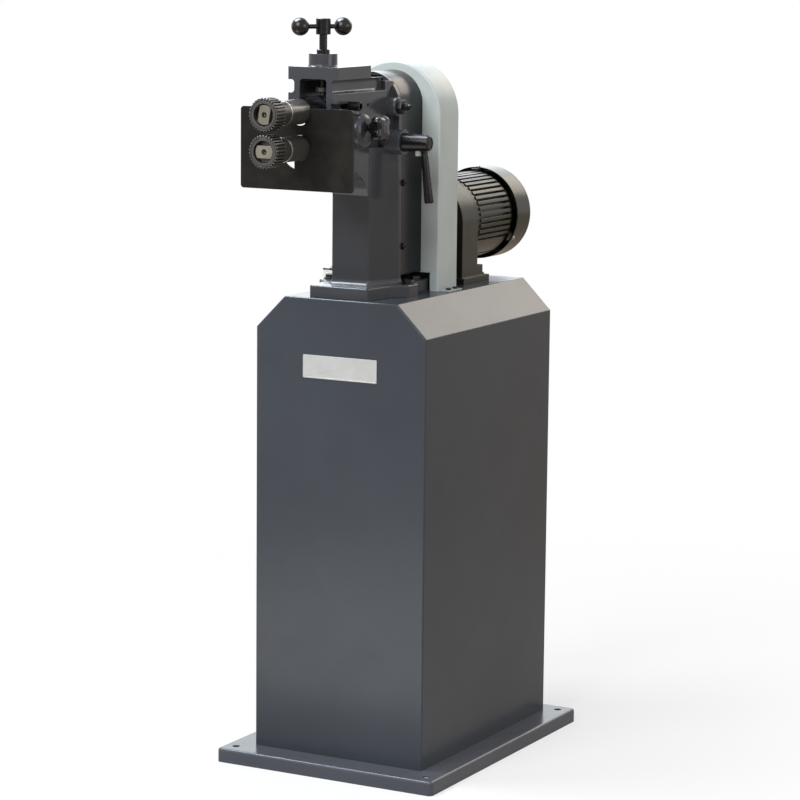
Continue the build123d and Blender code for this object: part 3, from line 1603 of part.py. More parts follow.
with BuildPart() as fan_cover:
    bar_back(0, motor_z, cover_radius, cover_front_y, cover_rear_y)
    fillet(fan_cover.edges().filter_by(GeomType.CIRCLE).sort_by(Axis.Y)[-1], cover_edge_radius)
    offset(amount=-cover_sheet, openings=fan_cover.faces().sort_by(Axis.Y)[0])
    with BuildSketch(across(cover_rear_y)):
        with Locations((0, motor_z)):
            with PolarLocations((grille_inner_radius + grille_outer_radius) / 2, grille_slots):
                SlotOverall(grille_outer_radius - grille_inner_radius, grille_slot_width)
    extrude(amount=2 * cover_sheet, mode=Mode.SUBTRACT)
    for angle in lug_angles:
        radial = (math.cos(math.radians(angle)), 0, math.sin(math.radians(angle)))
        with Locations(Plane(origin=(head_x, cover_front_y + cover_screw_inset, motor_z), z_dir=radial)):
            Cylinder(
                cover_screw_radius + bolt_fit,
                cover_radius + overlap,
                align=(Align.CENTER, Align.CENTER, Align.MIN),
                mode=Mode.SUBTRACT,
            )
fan_cover.part.label = "fan_cover"
export_step(fan_cover.part, "parts/fan_cover.step")

with BuildPart() as cover_screws:
    for angle in lug_angles:
        radial = Vector(math.cos(math.radians(angle)), 0, math.sin(math.radians(angle)))
        axis_point = Vector(head_x, cover_front_y + cover_screw_inset, motor_z)
        with Locations(Plane(origin=axis_point + radial * (cover_radius - cover_screw_length), z_dir=radial)):
            Cylinder(cover_screw_radius, cover_screw_length, align=(Align.CENTER, Align.CENTER, Align.MIN))
        with Locations(Plane(origin=axis_point + radial * cover_radius, z_dir=radial)):
            Cylinder(
                cover_screw_head_radius,
                cover_screw_head_height,
                align=(Align.CENTER, Align.CENTER, Align.MIN),
            )
cover_screws.part.label = "cover_screws"
export_step(cover_screws.part, "parts/cover_screws.step")

# Terminal box on the left of the motor, with its cable gland
with BuildPart() as terminal_box:
    with Locations((head_x - terminal_seat, terminal_y, motor_z)):
        Box(
            terminal_depth,
            terminal_width,
            terminal_height,
            align=(Align.MAX, Align.CENTER, Align.CENTER),
        )
    fillet(terminal_box.edges().filter_by(Axis.X), terminal_corner)
    fillet(terminal_box.faces().sort_by(Axis.X)[0].edges(), terminal_edge)
    bar_up(
        -terminal_seat - terminal_depth / 2,
        terminal_y,
        gland_radius,
        motor_z - terminal_height / 2 - gland_length,
        motor_z - terminal_height / 2,
    )
terminal_box.part.label = "terminal_box"
export_step(terminal_box.part, "parts/terminal_box.step")

# Switch box on the cabinet top, with two buttons
switch_y = switch_rear_y - switch_depth / 2
switch_box_top = cabinet_top + switch_height
switch_top = switch_box_top + panel_height
button_places = [(0, switch_y - button_spacing / 2), (0, switch_y + button_spacing / 2)]
with BuildPart() as switch_box:
    with BuildSketch(Plane(origin=(head_x + switch_x, 0, cabinet_top))):
        with Locations((0, switch_y)):
            RectangleRounded(switch_width, switch_depth, switch_corner_radius)
    extrude(amount=switch_height)
    offset(amount=-switch_wall, openings=switch_box.faces().sort_by(Axis.Z)[0])
    for x, y in button_places:
        bar_up(
            switch_x + x,
            y,
            button_radius + face_gap,
            switch_box_top - 2 * switch_wall,
            switch_box_top,
            Mode.SUBTRACT,
        )
switch_box.part.label = "switch_box"
export_step(switch_box.part, "parts/switch_box.step")

with BuildPart() as switch_panel:
    with BuildSketch(Plane(origin=(head_x + switch_x, 0, switch_box_top))):
        with Locations((0, switch_y)):
            RectangleRounded(switch_width, switch_depth, switch_corner_radius)
        with Locations(*button_places):
            Circle(button_radius + face_gap, mode=Mode.SUBTRACT)
    extrude(amount=panel_height)
switch_panel.part.label = "switch_panel"
export_step(switch_panel.part, "parts/switch_panel.step")

for label, place in zip(("start_button", "stop_button"), button_places):
    with BuildPart() as button:
        lip_top = switch_box_top - switch_wall - face_gap
        bar_up(switch_x + place[0], place[1], button_lip_radius, lip_top - button_lip, lip_top)
        bar_up(switch_x + place[0], place[1], button_radius, lip_top, switch_top + button_rise)
        fillet(button.faces().sort_by(Axis.Z)[-1].edges(), button_edge_radius)
        bar_up(
            switch_x + place[0],
            place[1],
            button_radius / 2,
            lip_top - button_lip - button_stem,
            lip_top - button_lip,
        )
    button.part.label = label
    export_step(button.part, f"parts/{label}.step")
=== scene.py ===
"""Looks of an electric bead roller, built around its fixed frame."""

import json
import logging
import math
from collections.abc import Sequence
from dataclasses import dataclass
from enum import Enum, IntEnum

import bmesh
import bpy
from mathutils import Matrix, Vector


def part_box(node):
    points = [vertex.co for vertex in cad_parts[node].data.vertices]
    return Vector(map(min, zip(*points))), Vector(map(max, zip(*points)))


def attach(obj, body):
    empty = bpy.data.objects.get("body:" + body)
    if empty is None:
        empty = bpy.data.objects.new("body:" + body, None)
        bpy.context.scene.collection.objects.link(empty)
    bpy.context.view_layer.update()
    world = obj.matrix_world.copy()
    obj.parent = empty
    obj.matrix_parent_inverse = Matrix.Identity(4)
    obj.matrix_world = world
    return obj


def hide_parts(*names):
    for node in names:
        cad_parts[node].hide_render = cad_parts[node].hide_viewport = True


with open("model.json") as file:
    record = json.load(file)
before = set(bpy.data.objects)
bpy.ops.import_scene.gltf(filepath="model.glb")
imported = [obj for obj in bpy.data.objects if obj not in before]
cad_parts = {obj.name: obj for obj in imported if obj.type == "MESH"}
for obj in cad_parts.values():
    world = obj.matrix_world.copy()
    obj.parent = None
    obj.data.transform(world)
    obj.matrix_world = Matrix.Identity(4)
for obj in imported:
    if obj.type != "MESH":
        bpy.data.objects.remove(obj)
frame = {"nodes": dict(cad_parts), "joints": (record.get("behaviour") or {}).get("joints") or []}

log = logging.getLogger("bead_roller")

Pair = tuple[float, float]
Triple = tuple[float, float, float]
Colour = Triple
Point = Triple
Outline = Sequence[Pair]
Mesh = bmesh.types.BMesh
Socket = bpy.types.NodeSocket
Input = Socket | Colour | float

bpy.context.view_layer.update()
MM = 0.001


def lowest(node: str) -> Vector:
    """Gives the lowest corner of a node's box at rest, in millimetres."""
    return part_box(node)[0] / MM


def highest(node: str) -> Vector:
    """Gives the highest corner of a node's box at rest, in millimetres."""
    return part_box(node)[1] / MM


def middle(node: str) -> Vector:
    """Gives the middle of a node's box at rest, in millimetres."""
    return (lowest(node) + highest(node)) / 2


def joint_place(name: str) -> Vector:
    """Gives the point of a joint's axis that the frame names, in millimetres."""
    return next(Vector(joint["pos_m"]) for joint in frame["joints"] if joint["name"] == name) / MM


# Places on the machine that several classes share, in millimetres
HEAD_X = joint_place("upper_spin").x
UPPER_Z = joint_place("upper_spin").z
LOWER_Z = joint_place("lower_spin").z
CABINET_TOP = highest("cabinet_shell").z

# Directions
RIGHT: Point = (1, 0, 0)
BACK: Point = (0, 1, 0)
FRONT: Point = (0, -1, 0)
UP: Point = (0, 0, 1)
DOWN: Point = (0, 0, -1)

# An edge that turns more than this, in radians, stays sharp
SHARP_ANGLE = 0.61

# Points nearer than this are one, in millimetres on a new piece and in metres on a node
SAME_POINT = 0.001
WELD_DISTANCE = 0.00001

# Shares of a screw head's own size, and a ring's edge in millimetres
HEXAGON_CHAMFER = 0.06
HEAD_CHAMFER = 0.12
SOCKET_DEPTH = 0.7
RING_EDGE = 0.3

# Range of a mask, and the part of a noise's range where most of it lies
FULL: Pair = (0.0, 1.0)
MIDDLE: Pair = (0.3, 0.7)

# What a mask is read from: how far an edge bends the normal, how open a hollow is for painted shade in
# hollows, how level a face is
EDGE_BEND: Pair = (0.80, 0.99)
HOLLOW_SHADE_OPENING: Pair = (0.45, 0.9)
FACE_LEVEL: Pair = (0.35, 0.95)


class Steps(IntEnum):
    """Steps round the axis of a round piece."""

    SHANK = 24
    SCREW = 32
    SOCKET = 36
    ARM = 40
    KNOB = 48
    HUB = 64
    DISC = 96


def shade(red: int, green: int, blue: int) -> Colour:
    """Gives a colour written in display values from 0 to 255 as the linear values of a shader."""
    return tuple(((value / 255 + 0.055) / 1.055) ** 2.4 for value in (red, green, blue))


def scaled(colour: Colour, factor: float, lift: float = 0.0) -> Colour:
    """Gives a colour multiplied by a factor and raised by a lift, at most white."""
    return tuple(min(1.0, value * factor + lift) for value in colour)


def raise_prism(solid: Mesh, height: float) -> None:
    """Raises a flat face into a prism.

    Args:
        solid: the mesh that holds the face alone.
        height: height of the prism.
    """
    grown = bmesh.ops.extrude_face_region(solid, geom=solid.faces[:])["geom"]
    upper = [item for item in grown if isinstance(item, bmesh.types.BMVert)]
    bmesh.ops.translate(solid, verts=upper, vec=(0, 0, height))


def soften(solid: Mesh, lines: list[bmesh.types.BMEdge], edge: float, segments: int) -> None:
    """Rounds edges of a solid.

    Args:
        solid: the solid.
        lines: its edges to round.
        edge: how far the rounding reaches.
        segments: steps across it.
    """
    bmesh.ops.bevel(
        solid, geom=lines, offset=edge, offset_type="OFFSET", affect="EDGES", segments=segments, profile=0.5,
        material=-1,
    )


def rise(line: bmesh.types.BMEdge) -> float:
    """Gives the difference in height between an edge's ends."""
    return abs(line.verts[0].co.z - line.verts[1].co.z)


class Shaper:
    """A mesh under construction in millimetres, put together from simple solids."""

    def __init__(self) -> None:
        """Starts with no solid."""
        self.mesh = bmesh.new()

    def join(self, solid: Mesh, base: Point, axis: Point, turn: float = 0.0) -> None:
        """Cleans a solid that stands on the origin along Z, sets it in place and adds it.

        Args:
            solid: the solid, which is used up.
            base: where its origin goes.
            axis: where its Z points.
            turn: how far it is turned about its own Z, in degrees.
        """
        bmesh.ops.remove_doubles(solid, verts=solid.verts, dist=SAME_POINT)
        bmesh.ops.recalc_face_normals(solid, faces=solid.faces)
        swing = Vector(UP).rotation_difference(Vector(axis)).to_matrix().to_4x4()
        place = Matrix.Translation(base) @ swing @ Matrix.Rotation(math.radians(turn), 4, "Z")
        bmesh.ops.transform(solid, matrix=place, verts=solid.verts)
        draft = bpy.data.meshes.new("draft")
        solid.to_mesh(draft)
        solid.free()
        self.mesh.from_mesh(draft)
        bpy.data.meshes.remove(draft)

    def spun(self, profile: Outline, steps: Steps) -> Mesh:
        """Spins an open line about Z.

        Args:
            profile: radius and height of its points.
            steps: steps round the axis.

        Returns:
            The spun shell.
        """
        solid = bmesh.new()
        points = [solid.verts.new((radius, 0, height)) for radius, height in profile]
        lines = [solid.edges.new(pair) for pair in zip(points, points[1:])]
        bmesh.ops.spin(
            solid, geom=points + lines, cent=(0, 0, 0), axis=UP, angle=math.tau, steps=steps, use_merge=True
        )
        return solid

    def turned(self, profile: Outline, base: Point, axis: Point, steps: Steps = Steps.KNOB) -> None:
        """Adds a turned solid, whose profile gives radius and height from axis to axis."""
        self.join(self.spun(profile, steps), base, axis)

    def shank(self, radius: float, depth: float, base: Point, axis: Point) -> None:
        """Adds the plain shank under a screw's head, down from the base that the head stands on."""
        self.turned([(0, -depth), (radius, -depth), (radius, 0), (0, 0)], base, axis, Steps.SHANK)

    def ring(self, inner: float, outer: float, height: float, base: Point, axis: Point) -> None:
        """Adds a plain ring.

        Args:
            inner: radius of its hole.
            outer: its radius.
            height: its thickness.
            base: foot of its axis.
            axis: direction of its axis.
        """
        edge = min(RING_EDGE, height / 4)
        outline = [
            (inner, 0), (outer - edge, 0), (outer, edge), (outer, height - edge), (outer - edge, height),
            (inner, height), (inner, 0),
        ]
        self.turned(outline, base, axis)

    def hexagon(self, flats: float, height: float, base: Point, axis: Point, turn: float) -> None:
        """Adds a hexagon head with a chamfered top.

        Args:
            flats: width across its flats.
            height: its height.
            base: foot of its axis.
            axis: direction of its axis.
            turn: how far it is turned, in degrees.
        """
        solid = bmesh.new()
        bmesh.ops.create_circle(solid, cap_ends=True, segments=6, radius=flats / math.sqrt(3))
        raise_prism(solid, height)
        rim = [line for line in solid.edges if all(vert.co.z > height / 2 for vert in line.verts)]
        soften(solid, rim, flats * HEXAGON_CHAMFER, 2)
        self.join(solid, base, axis, turn)

    def socket_head(self, radius: float, height: float, flats: float, base: Point, axis: Point) -> None:
        """Adds a round screw head with a hexagon socket.

        Args:
            radius: radius of the head.
            height: its height.
            flats: width across the socket's flats.
            base: foot of its axis.
            axis: direction of its axis.
        """
        edge = radius * HEAD_CHAMFER
        outline = [(0, 0), (radius, 0), (radius, height - edge), (radius - edge, height)]
        solid = self.spun(outline, Steps.SOCKET)
        bmesh.ops.remove_doubles(solid, verts=solid.verts, dist=SAME_POINT)
        rim = [line for line in solid.edges if line.is_boundary]
        hexagon = bmesh.ops.create_circle(solid, segments=6, radius=flats / math.sqrt(3))["verts"]
        bmesh.ops.translate(solid, verts=hexagon, vec=(0, 0, height))
        mouth = [line for line in solid.edges if line.is_wire]
        bmesh.ops.bridge_loops(solid, edges=rim + mouth)
        sunk = bmesh.ops.extrude_edge_only(solid, edges=mouth)["geom"]
        floor = [item for item in sunk if isinstance(item, bmesh.types.BMVert)]
        bmesh.ops.translate(solid, verts=floor, vec=(0, 0, -height * SOCKET_DEPTH))
        lines = [item for item in sunk if isinstance(item, bmesh.types.BMEdge)]
        bottom = [line for line in lines if all(vert in floor for vert in line.verts)]
        bmesh.ops.contextual_create(solid, geom=bottom)
        self.join(solid, base, axis)

    def piece(self, name: str) -> bpy.types.Object:
        """Ends the work.

        Args:
            name: name of the piece.

        Returns:
            The piece, in metres, with its sharp edges kept sharp.
        """
        for face in self.mesh.faces:
            face.smooth = True
        for edge in self.mesh.edges:
            edge.smooth = edge.calc_face_angle(0.0) < SHARP_ANGLE
        bmesh.ops.scale(self.mesh, vec=(MM, MM, MM), verts=self.mesh.verts)
        data = bpy.data.meshes.new(name)
        self.mesh.to_mesh(data)
        self.mesh.free()
        piece = bpy.data.objects.new(name, data)
        bpy.context.scene.collection.objects.link(piece)
        return piece


def soft_shading() -> bpy.types.NodeTree:
    """Makes the node group that joins a node's loose triangles and shades its curves smoothly.

    Returns:
        The group.
    """
    group = bpy.data.node_groups.new("soft_shading", "GeometryNodeTree")
    for side in ("INPUT", "OUTPUT"):
        group.interface.new_socket("Geometry", in_out=side, socket_type="NodeSocketGeometry")
    start, end, weld, faces, edges, angle, flat = (
        group.nodes.new(kind)
        for kind in (
            "NodeGroupInput", "NodeGroupOutput", "GeometryNodeMergeByDistance", "GeometryNodeSetShadeSmooth",
            "GeometryNodeSetShadeSmooth", "GeometryNodeInputMeshEdgeAngle", "FunctionNodeCompare",
        )
    )
    weld.inputs["Distance"].default_value = WELD_DISTANCE
    edges.domain = "EDGE"
    flat.operation = "LESS_THAN"
    flat.inputs["B"].default_value = SHARP_ANGLE
    link = group.links.new
    link(start.outputs[0], weld.inputs["Geometry"])
    link(weld.outputs[0], faces.inputs["Geometry"])
    link(faces.outputs[0], edges.inputs["Geometry"])
    link(angle.outputs["Unsigned Angle"], flat.inputs["A"])
    link(flat.outputs["Result"], edges.inputs["Shade Smooth"])
    link(edges.outputs[0], end.inputs[0])
    return group


class Nodes:
    """A shader's nodes, with short calls to add and join them."""

    def __init__(self, tree: bpy.types.NodeTree) -> None:
        """Takes up a tree of nodes."""
        self.tree = tree

    def add(self, kind: str, **settings: object) -> bpy.types.Node:
        """Adds a node.

        Args:
            kind: the node's type, without its prefix.
            settings: attributes to set on it.

        Returns:
            The new node.
        """
        node = self.tree.nodes.new("ShaderNode" + kind)
        for key, value in settings.items():
            setattr(node, key, value)
        return node

    def feed(self, socket: Socket, value: Input) -> None:
        """Joins or sets an input.

        Args:
            socket: the input.
            value: another node's output, a colour or a number.
        """
        if isinstance(value, Socket):
            self.tree.links.new(value, socket)
        else:
            socket.default_value = (*value, 1.0) if isinstance(value, tuple) else value

    def spread(self, value: Socket, source: Pair, target: Pair) -> Socket:
        """Maps a range of values onto another and clamps it.

        Args:
            value: the value to map.
            source: its lowest and highest value.
            target: the values these become.

        Returns:
            The mapped value.
        """
        node = self.add("MapRange")
        self.feed(node.inputs["Value"], value)
        for name, number in zip(("From Min", "From Max", "To Min", "To Max"), (*source, *target)):
            node.inputs[name].default_value = number
        return node.outputs["Result"]

    def math(self, operation: str, first: Input, second: Input) -> Socket:
        """Adds one sum on two values.

        Args:
            operation: Blender's name of the sum.
            first: first value.
            second: second value.

        Returns:
            The result.
        """
        node = self.add("Math", operation=operation)
        self.feed(node.inputs[0], first)
        self.feed(node.inputs[1], second)
        return node.outputs["Value"]

    def mix(self, share: Input, first: Input, second: Input) -> Socket:
        """Mixes two colours.

        Args:
            share: how much of the second shows.
            first: colour at share 0.
            second: colour at share 1.

        Returns:
            The mixed colour.
        """
        node = self.add("Mix", data_type="RGBA")
        for index, value in ((0, share), (6, first), (7, second)):
            self.feed(node.inputs[index], value)
        return node.outputs[2]


class Graph(Nodes):
    """One material's nodes, with the patterns that the finishes share."""

    def __init__(self, name: str) -> None:
        """Starts a material with a principled shader and object coordinates.

        Args:
            name: the material's name.
        """
        self.material = bpy.data.materials.new(name)
        self.material.use_nodes = True
        super().__init__(self.material.node_tree)
        self.shader = self.tree.nodes["Principled BSDF"]
        self.place = self.add("TexCoord").outputs["Object"]
        self.normal = self.add("NewGeometry").outputs["Normal"]

    def noise(self, size: float, detail: float, stretch: Point = (1, 1, 1)) -> Socket:
        """Adds soft noise.

        Args:
            size: size of its blotches in metres.
            detail: number of finer layers.
            stretch: how much longer the blotches are along X, Y and Z.

        Returns:
            The noise, about 0.5.
        """
        mapping = self.add("Mapping")
        self.feed(mapping.inputs["Vector"], self.place)
        mapping.inputs["Scale"].default_value = [1 / value for value in stretch]
        node = self.add("TexNoise")
        self.feed(node.inputs["Vector"], mapping.outputs["Vector"])
        node.inputs["Scale"].default_value = 1 / size
        node.inputs["Detail"].default_value = detail
        return node.outputs["Fac"]

    def rounded(self, radius: float) -> Socket:
        """Adds a normal that rounds sharp edges.

        Args:
            radius: edge radius in metres.

        Returns:
            The rounded normal.
        """
        node = self.add("Bevel", samples=6)
        node.inputs["Radius"].default_value = radius
        return node.outputs["Normal"]

    def edges(self, rounded: Socket) -> Socket:
        """Finds the sharp edges.

        Args:
            rounded: the rounded normal.

        Returns:
            A mask that is 1 along edges.
        """
        dot = self.add("VectorMath", operation="DOT_PRODUCT")
        self.feed(dot.inputs[0], rounded)
        self.feed(dot.inputs[1], self.normal)
        return self.spread(dot.outputs["Value"], EDGE_BEND, (1.0, 0.0))

    def hollow_shade_mask(self, reach: float) -> Socket:
        """Finds narrow hollows by ambient occlusion, as the mask of painted shade.

        Args:
            reach: how far a hollow's walls are looked for, in metres.

        Returns:
            A mask that is 1 deep in hollows, where shade is painted.
        """
        node = self.add("AmbientOcclusion", samples=8, only_local=True)
        node.inputs["Distance"].default_value = reach
        return self.spread(node.outputs["AO"], HOLLOW_SHADE_OPENING, (1.0, 0.0))

    def behind(self, depth: float) -> Socket:
        """Finds what lies behind a place along Y.

        Args:
            depth: the place in metres.

        Returns:
            A mask that is 1 behind it and fades out over a millimetre.
        """
        split = self.add("SeparateXYZ")
        self.feed(split.inputs[0], self.place)
        return self.spread(split.outputs["Y"], (depth - MM, depth), FULL)

    def facing_up(self) -> Socket:
        """Finds the level upper faces.

        Returns:
            A mask that is 1 on them.
        """
        split = self.add("SeparateXYZ")
        self.feed(split.inputs[0], self.normal)
        return self.spread(split.outputs["Z"], FACE_LEVEL, FULL)

    def bump(self, height: Socket, depth: float, normal: Socket) -> Socket:
        """Adds relief.

        Args:
            height: the relief's height from 0 to 1.
            depth: its full height in metres.
            normal: the normal under it.

        Returns:
            The normal with the relief.
        """
        node = self.add("Bump")
        node.inputs["Strength"].default_value = 1.0
        node.inputs["Distance"].default_value = depth
        self.feed(node.inputs["Height"], height)
        self.feed(node.inputs["Normal"], normal)
        return node.outputs["Normal"]

    def finish(self, **inputs: Input) -> bpy.types.Material:
        """Sets the shader's inputs.

        Args:
            inputs: values by input name, with spaces written as underscores.

        Returns:
            The finished material.
        """
        for name, value in inputs.items():
            self.feed(self.shader.inputs[name.replace("_", " ")], value)
        return self.material


@dataclass(frozen=True)
class Paint:
    """Enamel on sheet or casting, with mottling, dust on level faces, rubbed edges and a fine peel.

    Attributes:
        name: name of the material.
        colour: colour of the enamel.
        bare: colour where an edge is rubbed.
        gloss: strength of its reflection.
        roughness: its mean roughness.
        grain: size of the surface grain in metres.
        depth: height of the grain in metres.
        lumps: height of the coarse unevenness in metres.
        dust: share of dust on level faces.
        wear: share of rubbed edge.
        edge: edge radius in metres.
        mottle_size: size of the broad mottling in metres.
        smudge_size: size of the smudges in metres.
        speck_size: size of the specks of dust and wear in metres.
        lump_size: size of the coarse unevenness in metres.
        dust_colour: colour of the dust.
    """

    name: str
    colour: Colour
    bare: Colour
    gloss: float
    roughness: float
    grain: float = 0.0016
    depth: float = 0.00002
    lumps: float = 0.0
    dust: float = 0.12
    wear: float = 0.25
    edge: float = 0.0012
    mottle_size: float = 0.35
    smudge_size: float = 0.07
    speck_size: float = 0.012
    lump_size: float = 0.022
    dust_colour: Colour = shade(168, 165, 158)

    def material(self) -> bpy.types.Material:
        """Makes the enamel's nodes.

        Returns:
            The material.
        """
        graph = Graph(self.name)
        mottle = graph.spread(graph.noise(self.mottle_size, 3.0), (0.32, 0.68), FULL)
        specks = graph.noise(self.speck_size, 5.0)
        smudges = graph.noise(self.smudge_size, 4.0)
        colour = graph.mix(mottle, scaled(self.colour, 0.9), scaled(self.colour, 1.12))
        smudged = graph.spread(smudges, (0.52, 0.75), (0.0, 0.3))
        colour = graph.mix(smudged, colour, scaled(self.colour, 0.72))
        dusty = graph.spread(specks, (0.36, 0.74), (0.02, self.dust))
        colour = graph.mix(graph.math("MULTIPLY", graph.facing_up(), dusty), colour, self.dust_colour)
        rounded = graph.rounded(self.edge)
        worn = graph.spread(specks, (0.50, 0.66), (0.0, self.wear))
        colour = graph.mix(graph.math("MULTIPLY", graph.edges(rounded), worn), colour, self.bare)
        rough = graph.spread(smudges, MIDDLE, (self.roughness - 0.02, self.roughness + 0.03))
        normal = rounded
        if self.lumps:
            normal = graph.bump(graph.noise(self.lump_size, 2.0), self.lumps, normal)
        normal = graph.bump(graph.noise(self.grain, 3.0), self.depth, normal)
        return graph.finish(Base_Color=colour, Roughness=rough, Normal=normal, Specular_IOR_Level=self.gloss)


@dataclass(frozen=True)
class Steel:
    """Bare, blackened or ground steel with tool marks, stains and bright edges, plus painted shade in narrow
    hollows and behind a set depth along Y.

    Attributes:
        name: name of the material.
        colour: main colour.
        tint: colour of the stains.
        metallic: how metallic it is.
        roughness: its mean roughness.
        marks: stretch of the tool marks along X, Y and Z.
        depth: height of the tool marks in metres.
        edge: edge radius in metres.
        shine: how much brighter a rubbed edge is.
        gloss: strength of the reflection where it isn't metallic.
        streak: how strongly the tool marks show in the colour.
        hollow_shade_reach: reach of the painted shade that darkens narrow hollows, in metres.
        shade_start: where painted shade starts along Y, in metres; the steel is darkened behind it.
        stain_size: size of the stains in metres.
        mark_size: width of the tool marks in metres.
        rear_shade_colour: colour of the painted shade behind that place.
    """

    name: str
    colour: Colour
    tint: Colour
    metallic: float
    roughness: float
    marks: Point
    depth: float = 0.00001
    edge: float = 0.0006
    shine: float = 2.0
    gloss: float = 0.35
    streak: float = 0.35
    hollow_shade_reach: float = 0.0
    shade_start: float = 0.0
    stain_size: float = 0.03
    mark_size: float = 0.0012
    rear_shade_colour: Colour = shade(30, 31, 36)

    def material(self) -> bpy.types.Material:
        """Makes the steel's nodes.

        Returns:
            The material.
        """
        graph = Graph(self.name)
        stains = graph.noise(self.stain_size, 5.0)
        lines = graph.noise(self.mark_size, 2.0, self.marks)
        colour = graph.mix(graph.spread(stains, (0.38, 0.68), FULL), self.colour, self.tint)
        streaks = graph.spread(lines, MIDDLE, (0.0, self.streak))
        colour = graph.mix(streaks, colour, scaled(self.colour, 0.7))
        rounded = graph.rounded(self.edge) if self.edge else graph.normal
        rubbed = graph.math("MULTIPLY", graph.edges(rounded), graph.spread(stains, (0.35, 0.6), (0.1, 0.6)))
        colour = graph.mix(rubbed, colour, scaled(self.colour, self.shine, 0.02))
        # painted shade: narrow hollows are darkened where ambient occlusion finds them shaded
        if self.hollow_shade_reach:
            colour = graph.mix(graph.hollow_shade_mask(self.hollow_shade_reach), colour, scaled(self.colour, 0.12))
        # painted shade: darkens the steel behind a depth along Y, where it runs into shade
        if self.shade_start:
            colour = graph.mix(graph.behind(self.shade_start), colour, self.rear_shade_colour)
        swing = 0.2 * self.streak
        rough = graph.spread(lines, MIDDLE, (self.roughness - swing, self.roughness + swing))
        normal = graph.bump(lines, self.depth, rounded) if self.depth else rounded
        return graph.finish(
            Base_Color=colour, Roughness=rough, Normal=normal, Metallic=self.metallic,
            Specular_IOR_Level=self.gloss,
        )


@dataclass(frozen=True)
class Moulded:
    """Moulded plastic with a fine texture and faint flow clouds.

    Attributes:
        name: name of the material.
        colour: main colour.
        roughness: its mean roughness.
        gloss: strength of its reflection.
        grain: size of the texture in metres.
        depth: height of the texture in metres.
        edge: edge radius in metres.
        cloud_size: size of the flow clouds in metres.
    """

    name: str
    colour: Colour
    roughness: float
    gloss: float = 0.5
    grain: float = 0.0008
    depth: float = 0.00001
    edge: float = 0.0005
    cloud_size: float = 0.02

    def material(self) -> bpy.types.Material:
        """Makes the plastic's nodes.

        Returns:
            The material.
        """
        graph = Graph(self.name)
        clouds = graph.noise(self.cloud_size, 4.0)
        lighter = scaled(self.colour, 1.3, 0.003)
        colour = graph.mix(graph.spread(clouds, (0.35, 0.7), FULL), self.colour, lighter)
        rounded = graph.rounded(self.edge)
        scuffs = graph.math("MULTIPLY", graph.edges(rounded), graph.spread(clouds, (0.45, 0.65), (0.0, 0.3)))
        colour = graph.mix(scuffs, colour, scaled(lighter, 2.0))
        rough = graph.spread(clouds, MIDDLE, (self.roughness - 0.06, self.roughness + 0.06))
        normal = graph.bump(graph.noise(self.grain, 2.0), self.depth, rounded)
        return graph.finish(Base_Color=colour, Roughness=rough, Normal=normal, Specular_IOR_Level=self.gloss)


